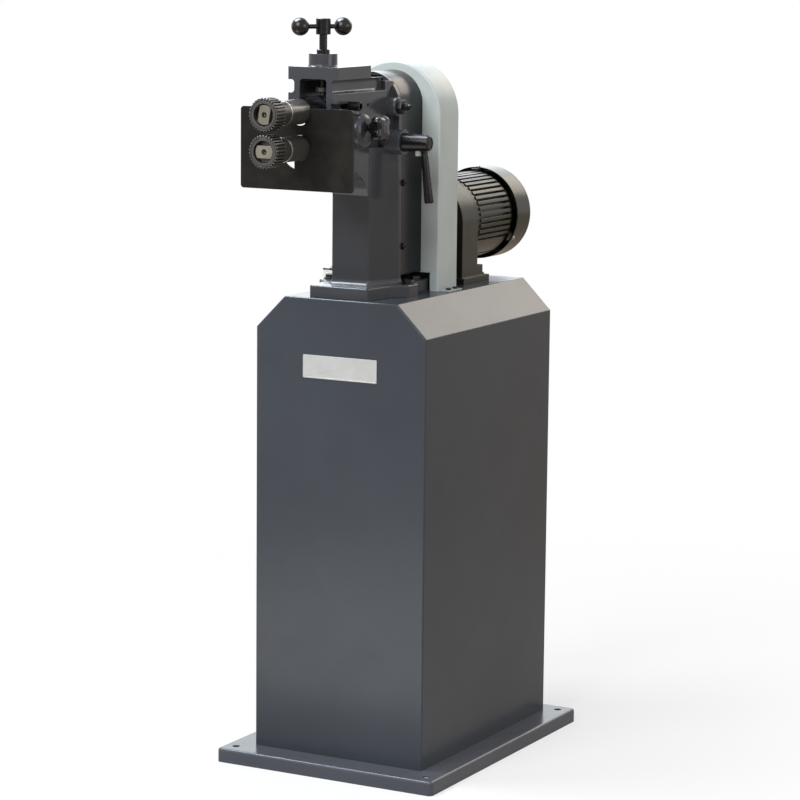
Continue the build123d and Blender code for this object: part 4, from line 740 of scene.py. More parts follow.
class Finish(Enum):
    """The finishes of the machine."""

    CABINET = Paint(
        "cabinet_enamel", shade(57, 62, 69), shade(130, 130, 130), 0.25, 0.24, depth=0.000008, dust=0.04
    )
    # painted light: a lighter copy of the cabinet enamel, standing in for front light on the tray
    LIT_TRAY = Paint(
        "tray_enamel_painted_light", shade(75, 78, 87), shade(138, 138, 140), 0.25, 0.24, depth=0.000008, dust=0.04
    )
    CASTING = Paint(
        "casting_enamel", shade(61, 63, 68), shade(106, 106, 108), 0.28, 0.18, grain=0.003, depth=0.00004,
        lumps=0.00015, edge=0.002,
    )
    # painted shade: the gear case is given near-black enamel for the shadow of the guard and head
    SHADED_CASE = Paint(
        "case_enamel_painted_shade", shade(10, 13, 18), shade(90, 90, 92), 0.32, 0.22, grain=0.003, depth=0.00005,
        lumps=0.0002, wear=0.3, edge=0.002,
    )
    GUARD = Paint("guard_enamel", shade(183, 191, 189), shade(120, 122, 122), 0.3, 0.33, dust=0.05, wear=0.2)
    MOTOR = Paint(
        "motor_enamel", shade(35, 33, 19), shade(104, 98, 86), 0.26, 0.3, grain=0.002, depth=0.00004,
        dust=0.16, wear=0.4,
    )
    COVER = Paint("fan_cover_enamel", shade(38, 36, 19), shade(104, 98, 86), 0.28, 0.25, dust=0.06, wear=0.3)
    REDUCER = Paint(
        "reducer_enamel", shade(36, 34, 18), shade(104, 98, 86), 0.28, 0.33, grain=0.003, depth=0.00008,
        lumps=0.0003, wear=0.35, edge=0.002,
    )
    BLACK_STEEL = Steel(
        "blackened_steel", shade(21, 20, 20), shade(31, 29, 27), 0.3, 0.28, (6, 6, 1), gloss=0.26
    )
    FENCE_STEEL = Steel("fence_steel", shade(29, 28, 27), shade(41, 38, 35), 0.2, 0.42, (9, 1, 1), gloss=0.12)
    # the roll's tooth gaps and hollows get painted shade
    ROLL_STEEL = Steel(
        "roll_steel", shade(79, 78, 76), shade(93, 91, 87), 0.55, 0.34, (1, 1, 6), gloss=0.3, hollow_shade_reach=0.004
    )
    # painted shade darkens the sleeve behind the fence plate, inside the shaded window
    SLEEVE = Steel(
        "sleeve_steel", shade(112, 112, 110), shade(102, 101, 97), 0.7, 0.28, (8, 1, 8), depth=0.0, edge=0.0,
        shine=1.3, gloss=0.4, streak=0.02, shade_start=-0.369,
    )
    GROUND = Steel("ground_steel", shade(152, 148, 138), shade(128, 122, 110), 0.9, 0.34, (8, 1, 8))
    RAW = Steel("mill_steel", shade(120, 118, 112), shade(92, 84, 76), 0.9, 0.45, (1, 8, 1))
    ZINC = Steel("zinc_steel", shade(176, 176, 172), shade(150, 150, 144), 0.9, 0.32, (1, 1, 1))
    BUSH = Steel("bush_metal", shade(206, 200, 186), shade(186, 176, 152), 0.9, 0.28, (8, 1, 8))
    PLATE = Steel(
        "blank_plate_metal", shade(185, 187, 188), shade(177, 178, 178), 0.3, 0.4, (14, 1, 1), streak=0.15
    )
    BLACK_PLASTIC = Moulded("black_plastic", shade(20, 20, 20), 0.22)
    KNOB_PLASTIC = Moulded("knob_plastic", shade(14, 14, 15), 0.16, 0.32)
    GREY_PLASTIC = Moulded("grey_plastic", shade(236, 238, 236), 0.45, 0.4)
    GREEN_PLASTIC = Moulded("green_plastic", shade(36, 116, 58), 0.3)
    RED_PLASTIC = Moulded("red_plastic", shade(164, 32, 28), 0.3)


class Workshop:
    """Keeps one material for each finish, dresses the frame's nodes and adds new pieces."""

    def __init__(self) -> None:
        """Starts with no material made."""
        self.made: dict[Finish, bpy.types.Material] = {}
        self.softener = soft_shading()

    def dress(self, piece: bpy.types.Object, finish: Finish) -> None:
        """Puts a finish on a piece.

        Args:
            piece: the piece.
            finish: its finish.
        """
        if finish not in self.made:
            self.made[finish] = finish.value.material()
        piece.data.materials.clear()
        piece.data.materials.append(self.made[finish])
        log.info("%s has %s", piece.name, finish.value.name)

    def dress_nodes(self, finish: Finish, *names: str) -> None:
        """Puts a finish on nodes of the frame and shades their curves smoothly.

        Args:
            finish: the finish.
            names: names of the nodes.
        """
        for name in names:
            node = frame["nodes"][name]
            self.dress(node, finish)
            node.modifiers.new("soft_shading", "NODES").node_group = self.softener
            node.modifiers.new("level_faces", "WEIGHTED_NORMAL").keep_sharp = True

    def add(self, shaper: Shaper, name: str, body: str, slot: str, finish: Finish, *replaced: str) -> None:
        """Adds a new piece to the machine.

        Args:
            shaper: its finished shape.
            name: its name.
            body: the body that carries it.
            slot: the record's slot of its finish; not used.
            finish: its finish.
            replaced: the nodes that it stands for.
        """
        piece = shaper.piece(name)
        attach(piece, body)
        if replaced:
            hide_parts(*replaced)
        self.dress(piece, finish)

    def add_screws(self, shaper: Shaper, node: str, finish: Finish = Finish.BLACK_STEEL) -> None:
        """Adds fine screws, bolts, nuts or studs in place of a node of the machine's own body."""
        self.add(shaper, f"{node}_fine", "machine", "black_steel", finish, node)


@dataclass
class Cabinet:
    """Base tray, cabinet, its rear panel and the blank plate on its front.

    Attributes:
        plate_corner: radius of the plate's corners, in millimetres.
        plate_rim: width of its raised rim.
        plate_slope: width of the slope inside the rim.
        plate_sink: how far its field lies below the rim.
    """

    plate_corner: float = 1.5
    plate_rim: float = 2.2
    plate_slope: float = 0.3
    plate_sink: float = 0.35

    def build(self, shop: Workshop) -> None:
        """Dresses the sheet and makes the plate.

        Args:
            shop: the workshop.
        """
        shop.dress_nodes(Finish.LIT_TRAY, "base_tray")
        shop.dress_nodes(Finish.CABINET, "cabinet_shell", "rear_panel")
        shop.dress_nodes(Finish.RAW, "top_stiffener")
        shop.dress_nodes(Finish.BLACK_STEEL, "rear_panel_screws")
        shop.add(self.plate(), "name_plate_blank", "machine", "blank_plate", Finish.PLATE, "name_plate")

    def plate(self) -> Shaper:
        """Makes the plate with a raised rim round a bare field.

        Returns:
            Its shape.
        """
        shaper = Shaper()
        width, thickness, height = highest("name_plate") - lowest("name_plate")
        solid = bmesh.new()
        bmesh.ops.create_cube(solid, size=1.0)
        bmesh.ops.scale(solid, vec=(width, height, thickness), verts=solid.verts)
        soften(solid, [line for line in solid.edges if rise(line) > SAME_POINT], self.plate_corner, 4)
        front = max(solid.faces, key=lambda face: face.calc_center_median().z)
        bmesh.ops.inset_region(solid, faces=[front], thickness=self.plate_rim)
        bmesh.ops.inset_region(solid, faces=[front], thickness=self.plate_slope, depth=-self.plate_sink)
        shaper.join(solid, middle("name_plate"), FRONT)
        return shaper


@dataclass
class Head:
    """Frame casting with its bolts, the screw in its side slot and the pivot studs.

    Attributes:
        foot_bolts: places of the foot bolts from the head's centre line, in millimetres.
        bolt_flats: width across a bolt's flats.
        bolt_height: height of a bolt's head with its washer.
        foot_top: height of the foot's upper face.
        bolt_shank: radius and depth of a bolt's shank.
        bolt_turn: how much further each bolt's head is turned than the last one's, in degrees.
        washer: radius and thickness of the washer.
        side_screw: depth and height of the side screw.
        side_reach: where the side screw starts and ends from the centre line.
        side_radius: radius of the side screw.
        side_socket: width across its socket's flats.
        pivot_y: depth of the pivot.
        pivot_flats: width across the pivot nut's flats.
        pivot_height: height of the pivot nut.
        pivot_face: face of the pivot boss from the centre line.
        pivot_turn: how far the pivot nut is turned, in degrees.
        stud_reach: where the pivot stud starts and ends from the centre line.
        stud_radius: its radius.
        stud_socket: width across the flats of the socket in its end.
        thread_root: radius at the root of its thread.
        thread_pitch: pitch of its thread.
        thread_turns: turns of the thread past the nut.
        thread_neck: length of the plain neck past the thread.
    """

    foot_bolts: Sequence[Pair] = ((81.0, -120.0), (62.0, -62.0), (-81.0, -120.0), (-62.0, -62.0))
    bolt_flats: float = 19.0
    bolt_height: float = 8.0
    foot_top: float = highest("foot_bolts").z - bolt_height
    bolt_shank: Pair = (6.0, 32.0)
    bolt_turn: float = 17.0
    washer: Pair = (12.0, 1.6)
    side_screw: Pair = (-285.0, 1219.5)
    side_reach: Pair = (lowest("side_screw").x - HEAD_X, highest("side_screw").x - HEAD_X)
    side_radius: float = 8.0
    side_socket: float = 9.6
    pivot_y: float = joint_place("rocker_tilt").y
    pivot_flats: float = 24.0
    pivot_height: float = 11.0
    pivot_face: float = highest("pivot_nuts").x - HEAD_X - pivot_height
    pivot_turn: float = 8.0
    stud_reach: Pair = (20.0, highest("pivot_studs").x - HEAD_X)
    stud_radius: float = 6.0
    stud_socket: float = 5.0
    thread_root: float = 5.3
    thread_pitch: float = 1.5
    thread_turns: int = 6
    thread_neck: float = 0.4

    def build(self, shop: Workshop) -> None:
        """Dresses the casting and makes its bolts, screw, studs and nuts.

        Args:
            shop: the workshop.
        """
        shop.dress_nodes(Finish.CASTING, "frame_casting")
        shop.dress_nodes(Finish.BLACK_STEEL, "spindle_bush")
        shop.dress_nodes(Finish.RAW, "lift_spring")
        shop.add_screws(self.bolts(), "foot_bolts")
        shop.add_screws(self.screw(), "side_screw")
        shop.add_screws(self.nuts(), "pivot_nuts")
        shop.add_screws(self.studs(), "pivot_studs")

    def bolts(self) -> Shaper:
        """Makes the foot bolts with washers.

        Returns:
            Their shape.
        """
        shaper = Shaper()
        shank, depth = self.bolt_shank
        wide, thick = self.washer
        outline = [(0, -depth), (shank, -depth), (shank, 0), (wide, 0), (wide, thick), (0, thick)]
        for index, (x, y) in enumerate(self.foot_bolts):
            shaper.turned(outline, (HEAD_X + x, y, self.foot_top), UP, Steps.SCREW)
            seat = (HEAD_X + x, y, self.foot_top + thick)
            shaper.hexagon(self.bolt_flats, self.bolt_height - thick, seat, UP, self.bolt_turn * index)
        return shaper

    def screw(self) -> Shaper:
        """Makes the socket screw in the side slot.

        Returns:
            Its shape.
        """
        shaper = Shaper()
        start, end = self.side_reach
        base = (HEAD_X + start, *self.side_screw)
        shaper.socket_head(self.side_radius, end - start, self.side_socket, base, RIGHT)
        return shaper

    def nuts(self) -> Shaper:
        """Makes the pivot nuts.

        Returns:
            Their shape.
        """
        shaper = Shaper()
        for sign in (-1, 1):
            base = self.on_pivot(sign * self.pivot_face)
            shaper.hexagon(self.pivot_flats, self.pivot_height, base, (sign, 0, 0), self.pivot_turn)
        return shaper

    def studs(self) -> Shaper:
        """Makes the threaded pivot studs with a socket in their ends.

        Returns:
            Their shape.
        """
        shaper = Shaper()
        start, end = self.stud_reach
        nut_top = self.pivot_face + self.pivot_height
        plain = nut_top - start
        rod = [(0, 0), (self.stud_radius, 0), (self.stud_radius, plain), (0, plain)]
        threads: list[Pair] = [(0, 0)]
        for turn in range(self.thread_turns):
            foot = turn * self.thread_pitch
            threads += [(self.thread_root, foot), (self.stud_radius, foot + self.thread_pitch / 2)]
        run = self.thread_turns * self.thread_pitch
        neck = run + self.thread_neck
        threads += [(self.thread_root, run), (self.thread_root, neck), (0, neck)]
        for sign in (-1, 1):
            axis = (sign, 0, 0)
            shaper.turned(rod, self.on_pivot(sign * start), axis, Steps.SCREW)
            shaper.turned(threads, self.on_pivot(sign * nut_top), axis, Steps.SCREW)
            cap = self.on_pivot(sign * (nut_top + neck))
            shaper.socket_head(self.thread_root, end - nut_top - neck, self.stud_socket, cap, axis)
        return shaper

    def on_pivot(self, distance: float) -> Point:
        """Gives the point of the pivot's axis at a distance from the centre line."""
        return (HEAD_X + distance, self.pivot_y, UPPER_Z)


@dataclass
class Rolls:
    """The two rolls with their shafts, sleeves, bushes and joining gears.

    Attributes:
        shaft_end: front face of the shaft ends, in millimetres.
        centre_radius: radius of the centre hole in a shaft end.
        sink_radius: radius of the countersink round it.
        sink_height: thickness of the ring that shows the countersink.
        sink_seat: how deep the ring sits in the shaft's end.
    """

    shaft_end: float = lowest("lower_shaft").y
    centre_radius: float = 3.0
    sink_radius: float = 5.0
    sink_height: float = 0.2
    sink_seat: float = 0.05

    def build(self, shop: Workshop) -> None:
        """Dresses the rolls and what turns them.

        Args:
            shop: the workshop.
        """
        shop.dress_nodes(Finish.ROLL_STEEL, "upper_roll", "lower_roll")
        shop.dress_nodes(Finish.SLEEVE, "upper_sleeve", "lower_sleeve")
        shop.dress_nodes(Finish.BUSH, "upper_bushes", "lower_bushes", "rear_bush")
        shop.dress_nodes(
            Finish.GROUND, "upper_shaft", "lower_shaft", "upper_gear", "lower_gear", "large_gear"
        )
        for name, height in (("upper", UPPER_Z), ("lower", LOWER_Z)):
            ring = self.sink(height)
            shop.add(ring, f"{name}_centre_sink", f"{name}_drive", "black_steel", Finish.BLACK_STEEL)

    def sink(self, height: float) -> Shaper:
        """Makes the worn ring round the centre hole of a shaft end.

        Args:
            height: height of the shaft's axis.

        Returns:
            Its shape.
        """
        shaper = Shaper()
        base = (HEAD_X, self.shaft_end + self.sink_seat, height)
        shaper.ring(self.centre_radius, self.sink_radius, self.sink_height, base, FRONT)
        return shaper


@dataclass
class Feed:
    """Feed spindle with its handle.

    Attributes:
        ball: radius of a ball, in millimetres.
        neck: radius of the flat round the bar.
        centre: where the handle's bar crosses the spindle's axis.
        turn: how far the bar is turned about the spindle, in degrees.
        shift: how far the bar is pushed along itself.
        spacing: distance between the balls.
        arc_steps: steps along a ball's outline.
    """

    ball: float = 16.0
    neck: float = 6.5
    centre: Point = (HEAD_X, joint_place("feed_turn").y, highest("ball_knobs").z - ball)
    turn: float = 57.0
    shift: float = -3.0
    spacing: float = 84.0
    arc_steps: int = 28

    def build(self, shop: Workshop) -> None:
        """Dresses the spindle and makes the ball knobs.

        Args:
            shop: the workshop.
        """
        shop.dress_nodes(Finish.BLACK_STEEL, "feed_spindle", "handle_hub", "handle_bar")
        shop.dress_nodes(Finish.ROLL_STEEL, "pressure_pad")
        balls = self.knobs()
        shop.add(balls, "ball_knobs_round", "feed_screw", "black_plastic", Finish.KNOB_PLASTIC, "ball_knobs")

    def knobs(self) -> Shaper:
        """Makes the two balls, each with a small flat where the bar goes in.

        Returns:
            Their shape.
        """
        shaper = Shaper()
        angle = math.radians(self.turn)
        line = Vector((math.cos(angle), math.sin(angle), 0))
        start = math.asin(self.neck / self.ball)
        arc = [start + (math.pi - start) * step / self.arc_steps for step in range(self.arc_steps)]
        outline = [(0.0, -math.sqrt(self.ball**2 - self.neck**2))]
        outline += [(self.ball * math.sin(bend), -self.ball * math.cos(bend)) for bend in arc]
        outline.append((0.0, self.ball))
        for sign in (-1, 1):
            ball = Vector(self.centre) + line * (self.shift + sign * self.spacing / 2)
            shaper.turned(outline, tuple(ball), tuple(line * sign))
        return shaper


@dataclass
class Fence:
    """Fence plate, its rod and the star knob that clamps it.

    Attributes:
        knob_start: face of the knob's neck, in millimetres.
        knob_y: depth of the knob's axis.
        knob_z: height of the knob's axis.
        stud: radius and depth of the knob's stud.
        neck: radius of the neck at its face and at its end.
        neck_edge: chamfer of the neck's face.
        neck_length: length of the neck.
        star_start: where the star starts along the neck.
        star_radius: mean radius of the star.
        star_swing: how far its lobes stand out.
        star_lobes: number of lobes.
        star_thickness: its thickness.
        star_edge: radius of its edges.
        star_turn: how far it is turned, in degrees.
        cap_radius: radius of the cap in its face.
        cap_span: where the cap starts and ends from the star's face.
    """

    knob_start: float = HEAD_X + 77.0
    knob_y: float = joint_place("knob_turn").y
    knob_z: float = joint_place("knob_turn").z
    stud: Pair = (5.0, 21.0)
    neck: Pair = (10.0, 10.5)
    neck_edge: float = 1.0
    neck_length: float = 10.5
    star_start: float = 10.0
    star_radius: float = 22.6
    star_swing: float = 3.4
    star_lobes: int = 4
    star_thickness: float = 20.0
    star_edge: float = 7.0
    star_turn: float = 45.0
    cap_radius: float = 8.0
    cap_span: Pair = (-0.5, 0.3)

    def build(self, shop: Workshop) -> None:
        """Dresses the fence and makes the knob.

        Args:
            shop: the workshop.
        """
        shop.dress_nodes(Finish.FENCE_STEEL, "fence_plate", "fence_rod")
        knob = self.knob()
        shop.add(knob, "star_knob_soft", "fence_knob", "black_plastic", Finish.KNOB_PLASTIC, "star_knob")

    def knob(self) -> Shaper:
        """Makes the knob with its star on a neck.

        Returns:
            Its shape.
        """
        shaper = Shaper()
        radius, depth = self.stud
        root, end = self.neck
        neck = [
            (0, -depth), (radius, -depth), (radius, 0), (root - self.neck_edge, 0), (root, self.neck_edge),
            (end, self.neck_length), (0, self.neck_length),
        ]
        shaper.turned(neck, self.on_axis(0.0), RIGHT)
        shaper.join(self.star(), self.on_axis(self.star_start), RIGHT, self.star_turn)
        low, high = self.cap_span
        cap = [(0, low), (self.cap_radius, low), (self.cap_radius, high), (0, high)]
        shaper.turned(cap, self.on_axis(self.star_start + self.star_thickness), RIGHT)
        return shaper

    def star(self) -> Mesh:
        """Makes a disc with soft lobes and rounded edges.

        Returns:
            The disc, standing on the origin.
        """
        disc = bmesh.new()
        bmesh.ops.create_circle(disc, cap_ends=True, segments=Steps.DISC, radius=1.0)
        for vert in disc.verts:
            wave = math.cos(self.star_lobes * math.atan2(vert.co.y, vert.co.x))
            vert.co *= self.star_radius + self.star_swing * wave
        raise_prism(disc, self.star_thickness)
        soften(disc, [line for line in disc.edges if rise(line) < SAME_POINT], self.star_edge, 4)
        return disc

    def on_axis(self, distance: float) -> Point:
        """Gives the point of the knob's axis at a distance from its neck's face."""
        return (self.knob_start + distance, self.knob_y, self.knob_z)


@dataclass
class SleeveClamp:
    """Clamp lever of the lower sleeve.

    Attributes:
        start: face of the hub, in millimetres.
        depth: depth of the lever's axis.
        stud: radius and depth of the stud.
        hub_length: length of the hub.
        hub_radius: radius of the hub at its face.
        hub_edge: chamfer of its face.
        end_radius: radius of the hub at its end.
        end_edge: points of its soft end edge, from its end's radius and its length.
        end_hollow: points of the hollow in its end, from the axis and its length.
        arm_place: place of the arm along the hub.
        arm_lean: lean of the arm in degrees.
        arm_length: length of the arm from the axis.
        arm_root: points of the arm's collar, from its own axis and the hub's.
        arm_tip: points of its soft end, from its own axis and its length.
        nut_place: place of the lock nut along the hub.
        nut_flats: width across the lock nut's flats.
        nut_drop: upper and lower face of the lock nut below the axis.
        nut_turn: how far the lock nut is turned, in degrees.
    """

    start: float = HEAD_X + 80.3
    depth: float = joint_place("lever_turn").y
    stud: Pair = (6.0, 58.0)
    hub_length: float = 52.0
    hub_radius: float = 17.0
    hub_edge: float = 0.8
    end_radius: float = 14.0
    end_edge: Outline = ((0.1, -4.0), (-0.5, -1.6), (-2.0, -0.4), (-3.4, 0.0))
    end_hollow: Outline = ((9.4, 0.0), (9.0, -1.2), (5.0, -1.2), (4.6, -0.6), (0.0, -0.6))
    arm_place: float = 38.0
    arm_lean: float = 7.0
    arm_length: float = 108.0
    arm_root: Outline = ((0.0, 6.0), (6.4, 6.0), (6.4, 18.5), (5.6, 19.5), (5.8, 21.0), (6.6, 24.0))
    arm_tip: Outline = ((8.5, -3.2), (8.1, -1.2), (6.9, -0.2), (6.0, 0.0), (0.0, 0.0))
    nut_place: float = 28.0
    nut_flats: float = 10.0
    nut_drop: Pair = (13.0, 23.5)
    nut_turn: float = 12.0

    def build(self, shop: Workshop) -> None:
        """Makes the lever and its lock nut.

        Args:
            shop: the workshop.
        """
        lever = self.lever()
        shop.add(lever, "clamp_lever_fine", "sleeve_clamp", "black_steel", Finish.BLACK_STEEL, "clamp_lever")
        # the lock nut takes the pale plate finish as a painted reflection, bright even in shade
        shop.add(self.nut(), "lever_lock_nut", "sleeve_clamp", "black_steel", Finish.PLATE)

    def nut(self) -> Shaper:
        """Makes the small lock nut under the hub, beside the arm; its pale finish is a painted reflection.

        Returns:
            Its shape.
        """
        shaper = Shaper()
        top, bottom = self.nut_drop
        base = (self.start + self.nut_place, self.depth, LOWER_Z - top)
        shaper.hexagon(self.nut_flats, bottom - top, base, DOWN, self.nut_turn)
        return shaper

    def lever(self) -> Shaper:
        """Makes the hub with its hollow end, the stud and the leaning arm.

        Returns:
            Its shape.
        """
        shaper = Shaper()
        radius, depth = self.stud
        hub = [(0, -depth), (radius, -depth), (radius, 0)]
        hub += [(self.hub_radius - self.hub_edge, 0), (self.hub_radius, self.hub_edge)]
        hub += [(self.end_radius + out, self.hub_length + along) for out, along in self.end_edge]
        hub += [(out, self.hub_length + along) for out, along in self.end_hollow]
        shaper.turned(hub, (self.start, self.depth, LOWER_Z), RIGHT, Steps.HUB)
        arm = [*self.arm_root, *((out, self.arm_length + along) for out, along in self.arm_tip)]
        lean = math.radians(self.arm_lean)
        root = (self.start + self.arm_place, self.depth, LOWER_Z)
        shaper.turned(arm, root, (math.sin(lean), 0, -math.cos(lean)), Steps.ARM)
        return shaper


@dataclass
class Drive:
    """Gear case behind the column and the drive guard with its screws.

    Attributes:
        case_face: side of the gear case from the head's centre line, in millimetres.
        case_screw_y: depth of the case screws.
        case_screw_heights: their heights.
        case_shank: radius and depth of their shanks.
        case_head: radius and height of their heads, and width across their sockets' flats.
        guard_rear: outer face of the guard's back.
        lug_x: the back screws' distance from the centre line.
        lug_heights: their heights.
        lug_screw: outline of a back screw with the recess in its round head.
        tab_x: the foot screws' distance from the centre line.
        tab_depths: their depths.
        tab_top: upper face of the foot tabs.
        tab_shank: radius and depth of the foot screws' shanks.
        tab_head: width across their heads' flats, height and turn in degrees.
    """

    case_face: float = highest("gear_case").x - HEAD_X
    case_screw_y: float = -107.0
    case_screw_heights: Pair = (958.0, 1073.0)
    case_shank: Pair = (3.0, 18.0)
    case_head: Triple = (6.0, 5.0, 5.0)
    guard_rear: float = highest("guard_back").y
    lug_x: float = 89.5
    lug_heights: Triple = (930.0, 1050.0, 1170.0)
    lug_screw: Outline = (
        (0, -8), (2.5, -8), (2.5, 0), (5, 0), (5, 1.6), (4.4, 2.8), (3.2, 3.4), (2.2, 3.4), (2.0, 1.8),
        (0, 1.8),
    )
    tab_x: float = 107.5
    tab_depths: Pair = (-13.5, 11.5)
    tab_top: float = CABINET_TOP + 2.0
    tab_shank: Pair = (2.5, 2.0)
    tab_head: Triple = (9.0, 3.5, 20.0)

    def build(self, shop: Workshop) -> None:
        """Dresses the case and the guard and makes their screws.

        Args:
            shop: the workshop.
        """
        shop.dress_nodes(Finish.SHADED_CASE, "gear_case")
        shop.dress_nodes(Finish.GUARD, "drive_guard", "guard_back")
        shop.dress_nodes(Finish.GROUND, "output_shaft", "output_gear", "countershaft")
        shop.add_screws(self.case_screws(), "case_screws")
        shop.add_screws(self.guard_screws(), "guard_screws")

    def case_screws(self) -> Shaper:
        """Makes the socket screws in the sides of the case.

        Returns:
            Their shape.
        """
        shaper = Shaper()
        for sign in (-1, 1):
            for height in self.case_screw_heights:
                base = (HEAD_X + sign * self.case_face, self.case_screw_y, height)
                shaper.shank(*self.case_shank, base, (sign, 0, 0))
                shaper.socket_head(*self.case_head, base, (sign, 0, 0))
        return shaper

    def guard_screws(self) -> Shaper:
        """Makes the screws of the guard's back and foot tabs.

        Returns:
            Their shape.
        """
        shaper = Shaper()
        flats, tall, turn = self.tab_head
        for sign in (-1, 1):
            for height in self.lug_heights:
                base = (HEAD_X + sign * self.lug_x, self.guard_rear, height)
                shaper.turned(self.lug_screw, base, BACK, Steps.SCREW)
            for depth in self.tab_depths:
                base = (HEAD_X + sign * self.tab_x, depth, self.tab_top)
                shaper.shank(*self.tab_shank, base, UP)
                shaper.hexagon(flats, tall, base, UP, turn)
        return shaper


@dataclass
class MotorUnit:
    """Reducer, motor, fan and terminal box.

    Attributes:
        axis_z: height of the motor's axis, in millimetres.
        foot_top: upper face of the reducer's foot.
        bolt_place: place of the foot bolts from the centre line.
        bolt_shank: radius and depth of their shanks.
        bolt_head: width across their heads' flats, height and turn in degrees.
        cover_radius: radius of the fan cover.
        cover_screw_y: depth of the cover's screws.
        cover_angles: where they sit round the cover, in degrees.
        cover_screw: outline of a cover screw with its round head.
    """

    axis_z: float = joint_place("rotor_spin").z
    foot_top: float = CABINET_TOP + 11.0
    bolt_place: Pair = (74.0, 183.0)
    bolt_shank: Pair = (4.0, 21.0)
    bolt_head: Triple = (9.6, 3.5, 11.0)
    cover_radius: float = highest("fan_cover").z - axis_z
    cover_screw_y: float = 311.0
    cover_angles: Triple = (90.0, 210.0, 330.0)
    cover_screw: Outline = (
        (0, -9), (2, -9), (2, -0.2), (4, -0.2), (4, 1.4), (3.3, 2.2), (2.2, 2.5), (0, 2.5)
    )

    def build(self, shop: Workshop) -> None:
        """Dresses the motor and the reducer and makes their screws.

        Args:
            shop: the workshop.
        """
        shop.dress_nodes(Finish.MOTOR, "motor_frame", "rear_shield", "front_shield")
        shop.dress_nodes(Finish.COVER, "fan_cover")
        shop.dress_nodes(Finish.REDUCER, "reducer_housing")
        shop.dress_nodes(Finish.RAW, "stator", "motor_rotor")
        shop.dress_nodes(Finish.BLACK_PLASTIC, "cooling_fan", "terminal_box")
        shop.add_screws(self.bolts(), "reducer_bolts")
        shop.add_screws(self.screws(), "cover_screws", Finish.ZINC)

    def bolts(self) -> Shaper:
        """Makes the bolts of the reducer's foot.

        Returns:
            Their shape.
        """
        shaper = Shaper()
        x, y = self.bolt_place
        flats, tall, turn = self.bolt_head
        for sign in (-1, 1):
            base = (HEAD_X + sign * x, y, self.foot_top)
            shaper.shank(*self.bolt_shank, base, UP)
            shaper.hexagon(flats, tall, base, UP, turn * sign)
        return shaper

    def screws(self) -> Shaper:
        """Makes the round-headed screws of the fan cover.

        Returns:
            Their shape.
        """
        shaper = Shaper()
        for angle in self.cover_angles:
            across, up = math.cos(math.radians(angle)), math.sin(math.radians(angle))
            x, z = HEAD_X + across * self.cover_radius, self.axis_z + up * self.cover_radius
            shaper.turned(self.cover_screw, (x, self.cover_screw_y, z), (across, 0.0, up), Steps.SCREW)
        return shaper


@dataclass
class SwitchUnit:
    """Switch box with its panel and buttons.

    Attributes:
        x: middle of the box, in millimetres.
        depths: depths of the two buttons.
        panel_top: upper face of the panel.
        bezel: inner radius, outer radius and height of a button's ring.
    """

    x: float = middle("switch_panel").x
    depths: Pair = (middle("start_button").y, middle("stop_button").y)
    panel_top: float = highest("switch_panel").z
    bezel: Triple = (8.5, 10.6, 1.2)

    def build(self, shop: Workshop) -> None:
        """Dresses the box and its buttons and makes the rings round them.

        Args:
            shop: the workshop.
        """
        shop.dress_nodes(Finish.GREY_PLASTIC, "switch_box")
        shop.dress_nodes(Finish.BLACK_PLASTIC, "switch_panel")
        shop.dress_nodes(Finish.GREEN_PLASTIC, "start_button")
        shop.dress_nodes(Finish.RED_PLASTIC, "stop_button")
        shop.add(self.bezels(), "button_bezels", "machine", "grey_plastic", Finish.ZINC)

    def bezels(self) -> Shaper:
        """Makes the rings round the buttons.

        Returns:
            Their shape.
        """
        shaper = Shaper()
        for depth in self.depths:
            shaper.ring(*self.bezel, (self.x, depth, self.panel_top), UP)
        return shaper


@dataclass(frozen=True)
class Lamp:
    """One soft lamp.

    Attributes:
        name: its name.
        place: where it hangs, in metres.
        target: where it points.
        size: its width and height in metres.
        power: its power in watts.
        tint: colour of its light.
        on_matt: whether it lights matt surfaces or is only mirrored.
    """

    name: str
    place: Point
    target: Point
    size: Pair
    power: float
    tint: Colour
    on_matt: bool = True

    def hang(self) -> None:
        """Hangs the lamp, out of the camera's sight."""
        data = bpy.data.lights.new(self.name, "AREA")
        data.shape = "RECTANGLE"
        data.size, data.size_y = self.size
        data.energy = self.power
        data.color = self.tint
        lamp = bpy.data.objects.new(self.name, data)
        bpy.context.scene.collection.objects.link(lamp)
        lamp.location = self.place
        lamp.rotation_euler = (Vector(self.place) - Vector(self.target)).to_track_quat("Z", "Y").to_euler()
        lamp.visible_camera = False
        lamp.visible_diffuse = self.on_matt


LAMPS = (
    Lamp("overhead", (-1.5, -1.0, 4.0), (0, 0, 0.9), (1.2, 1.2), 84.0, (0.92, 0.96, 1.0)),
    Lamp("front", (-0.4, -4.8, 4.0), (0, 0, 0.8), (3.0, 3.0), 252.0, (0.96, 0.98, 1.0)),
    Lamp("rear_right", (1.3, 6.0, 4.1), (0, 0, 0.9), (3.6, 2.6), 100.0, (1.0, 0.9, 0.77)),
    Lamp("rear_left", (-2.4, 6.0, 3.3), (0, 0, 0.9), (3.6, 2.8), 66.0, (0.84, 0.92, 1.0)),
    Lamp("backdrop", (-3.6, 6.4, 1.1), (0, 0, 0.5), (4.4, 1.8), 30.0, (0.84, 0.91, 1.0)),
    Lamp("right", (4.4, -0.4, 2.0), (0, 0, 0.6), (2.4, 2.4), 54.0, (1.0, 0.98, 0.96)),
    Lamp("floor_bounce", (-0.3, -1.3, 0.01), (-0.3, -1.3, 2.0), (1.5, 1.3), 13.0, (1.0, 0.98, 0.95)),
    Lamp("sky_card", (-1.5, 0.1, 4.0), (0, 0, 1.0), (1.6, 2.6), 300.0, (0.74, 0.86, 1.0), on_matt=False),
)


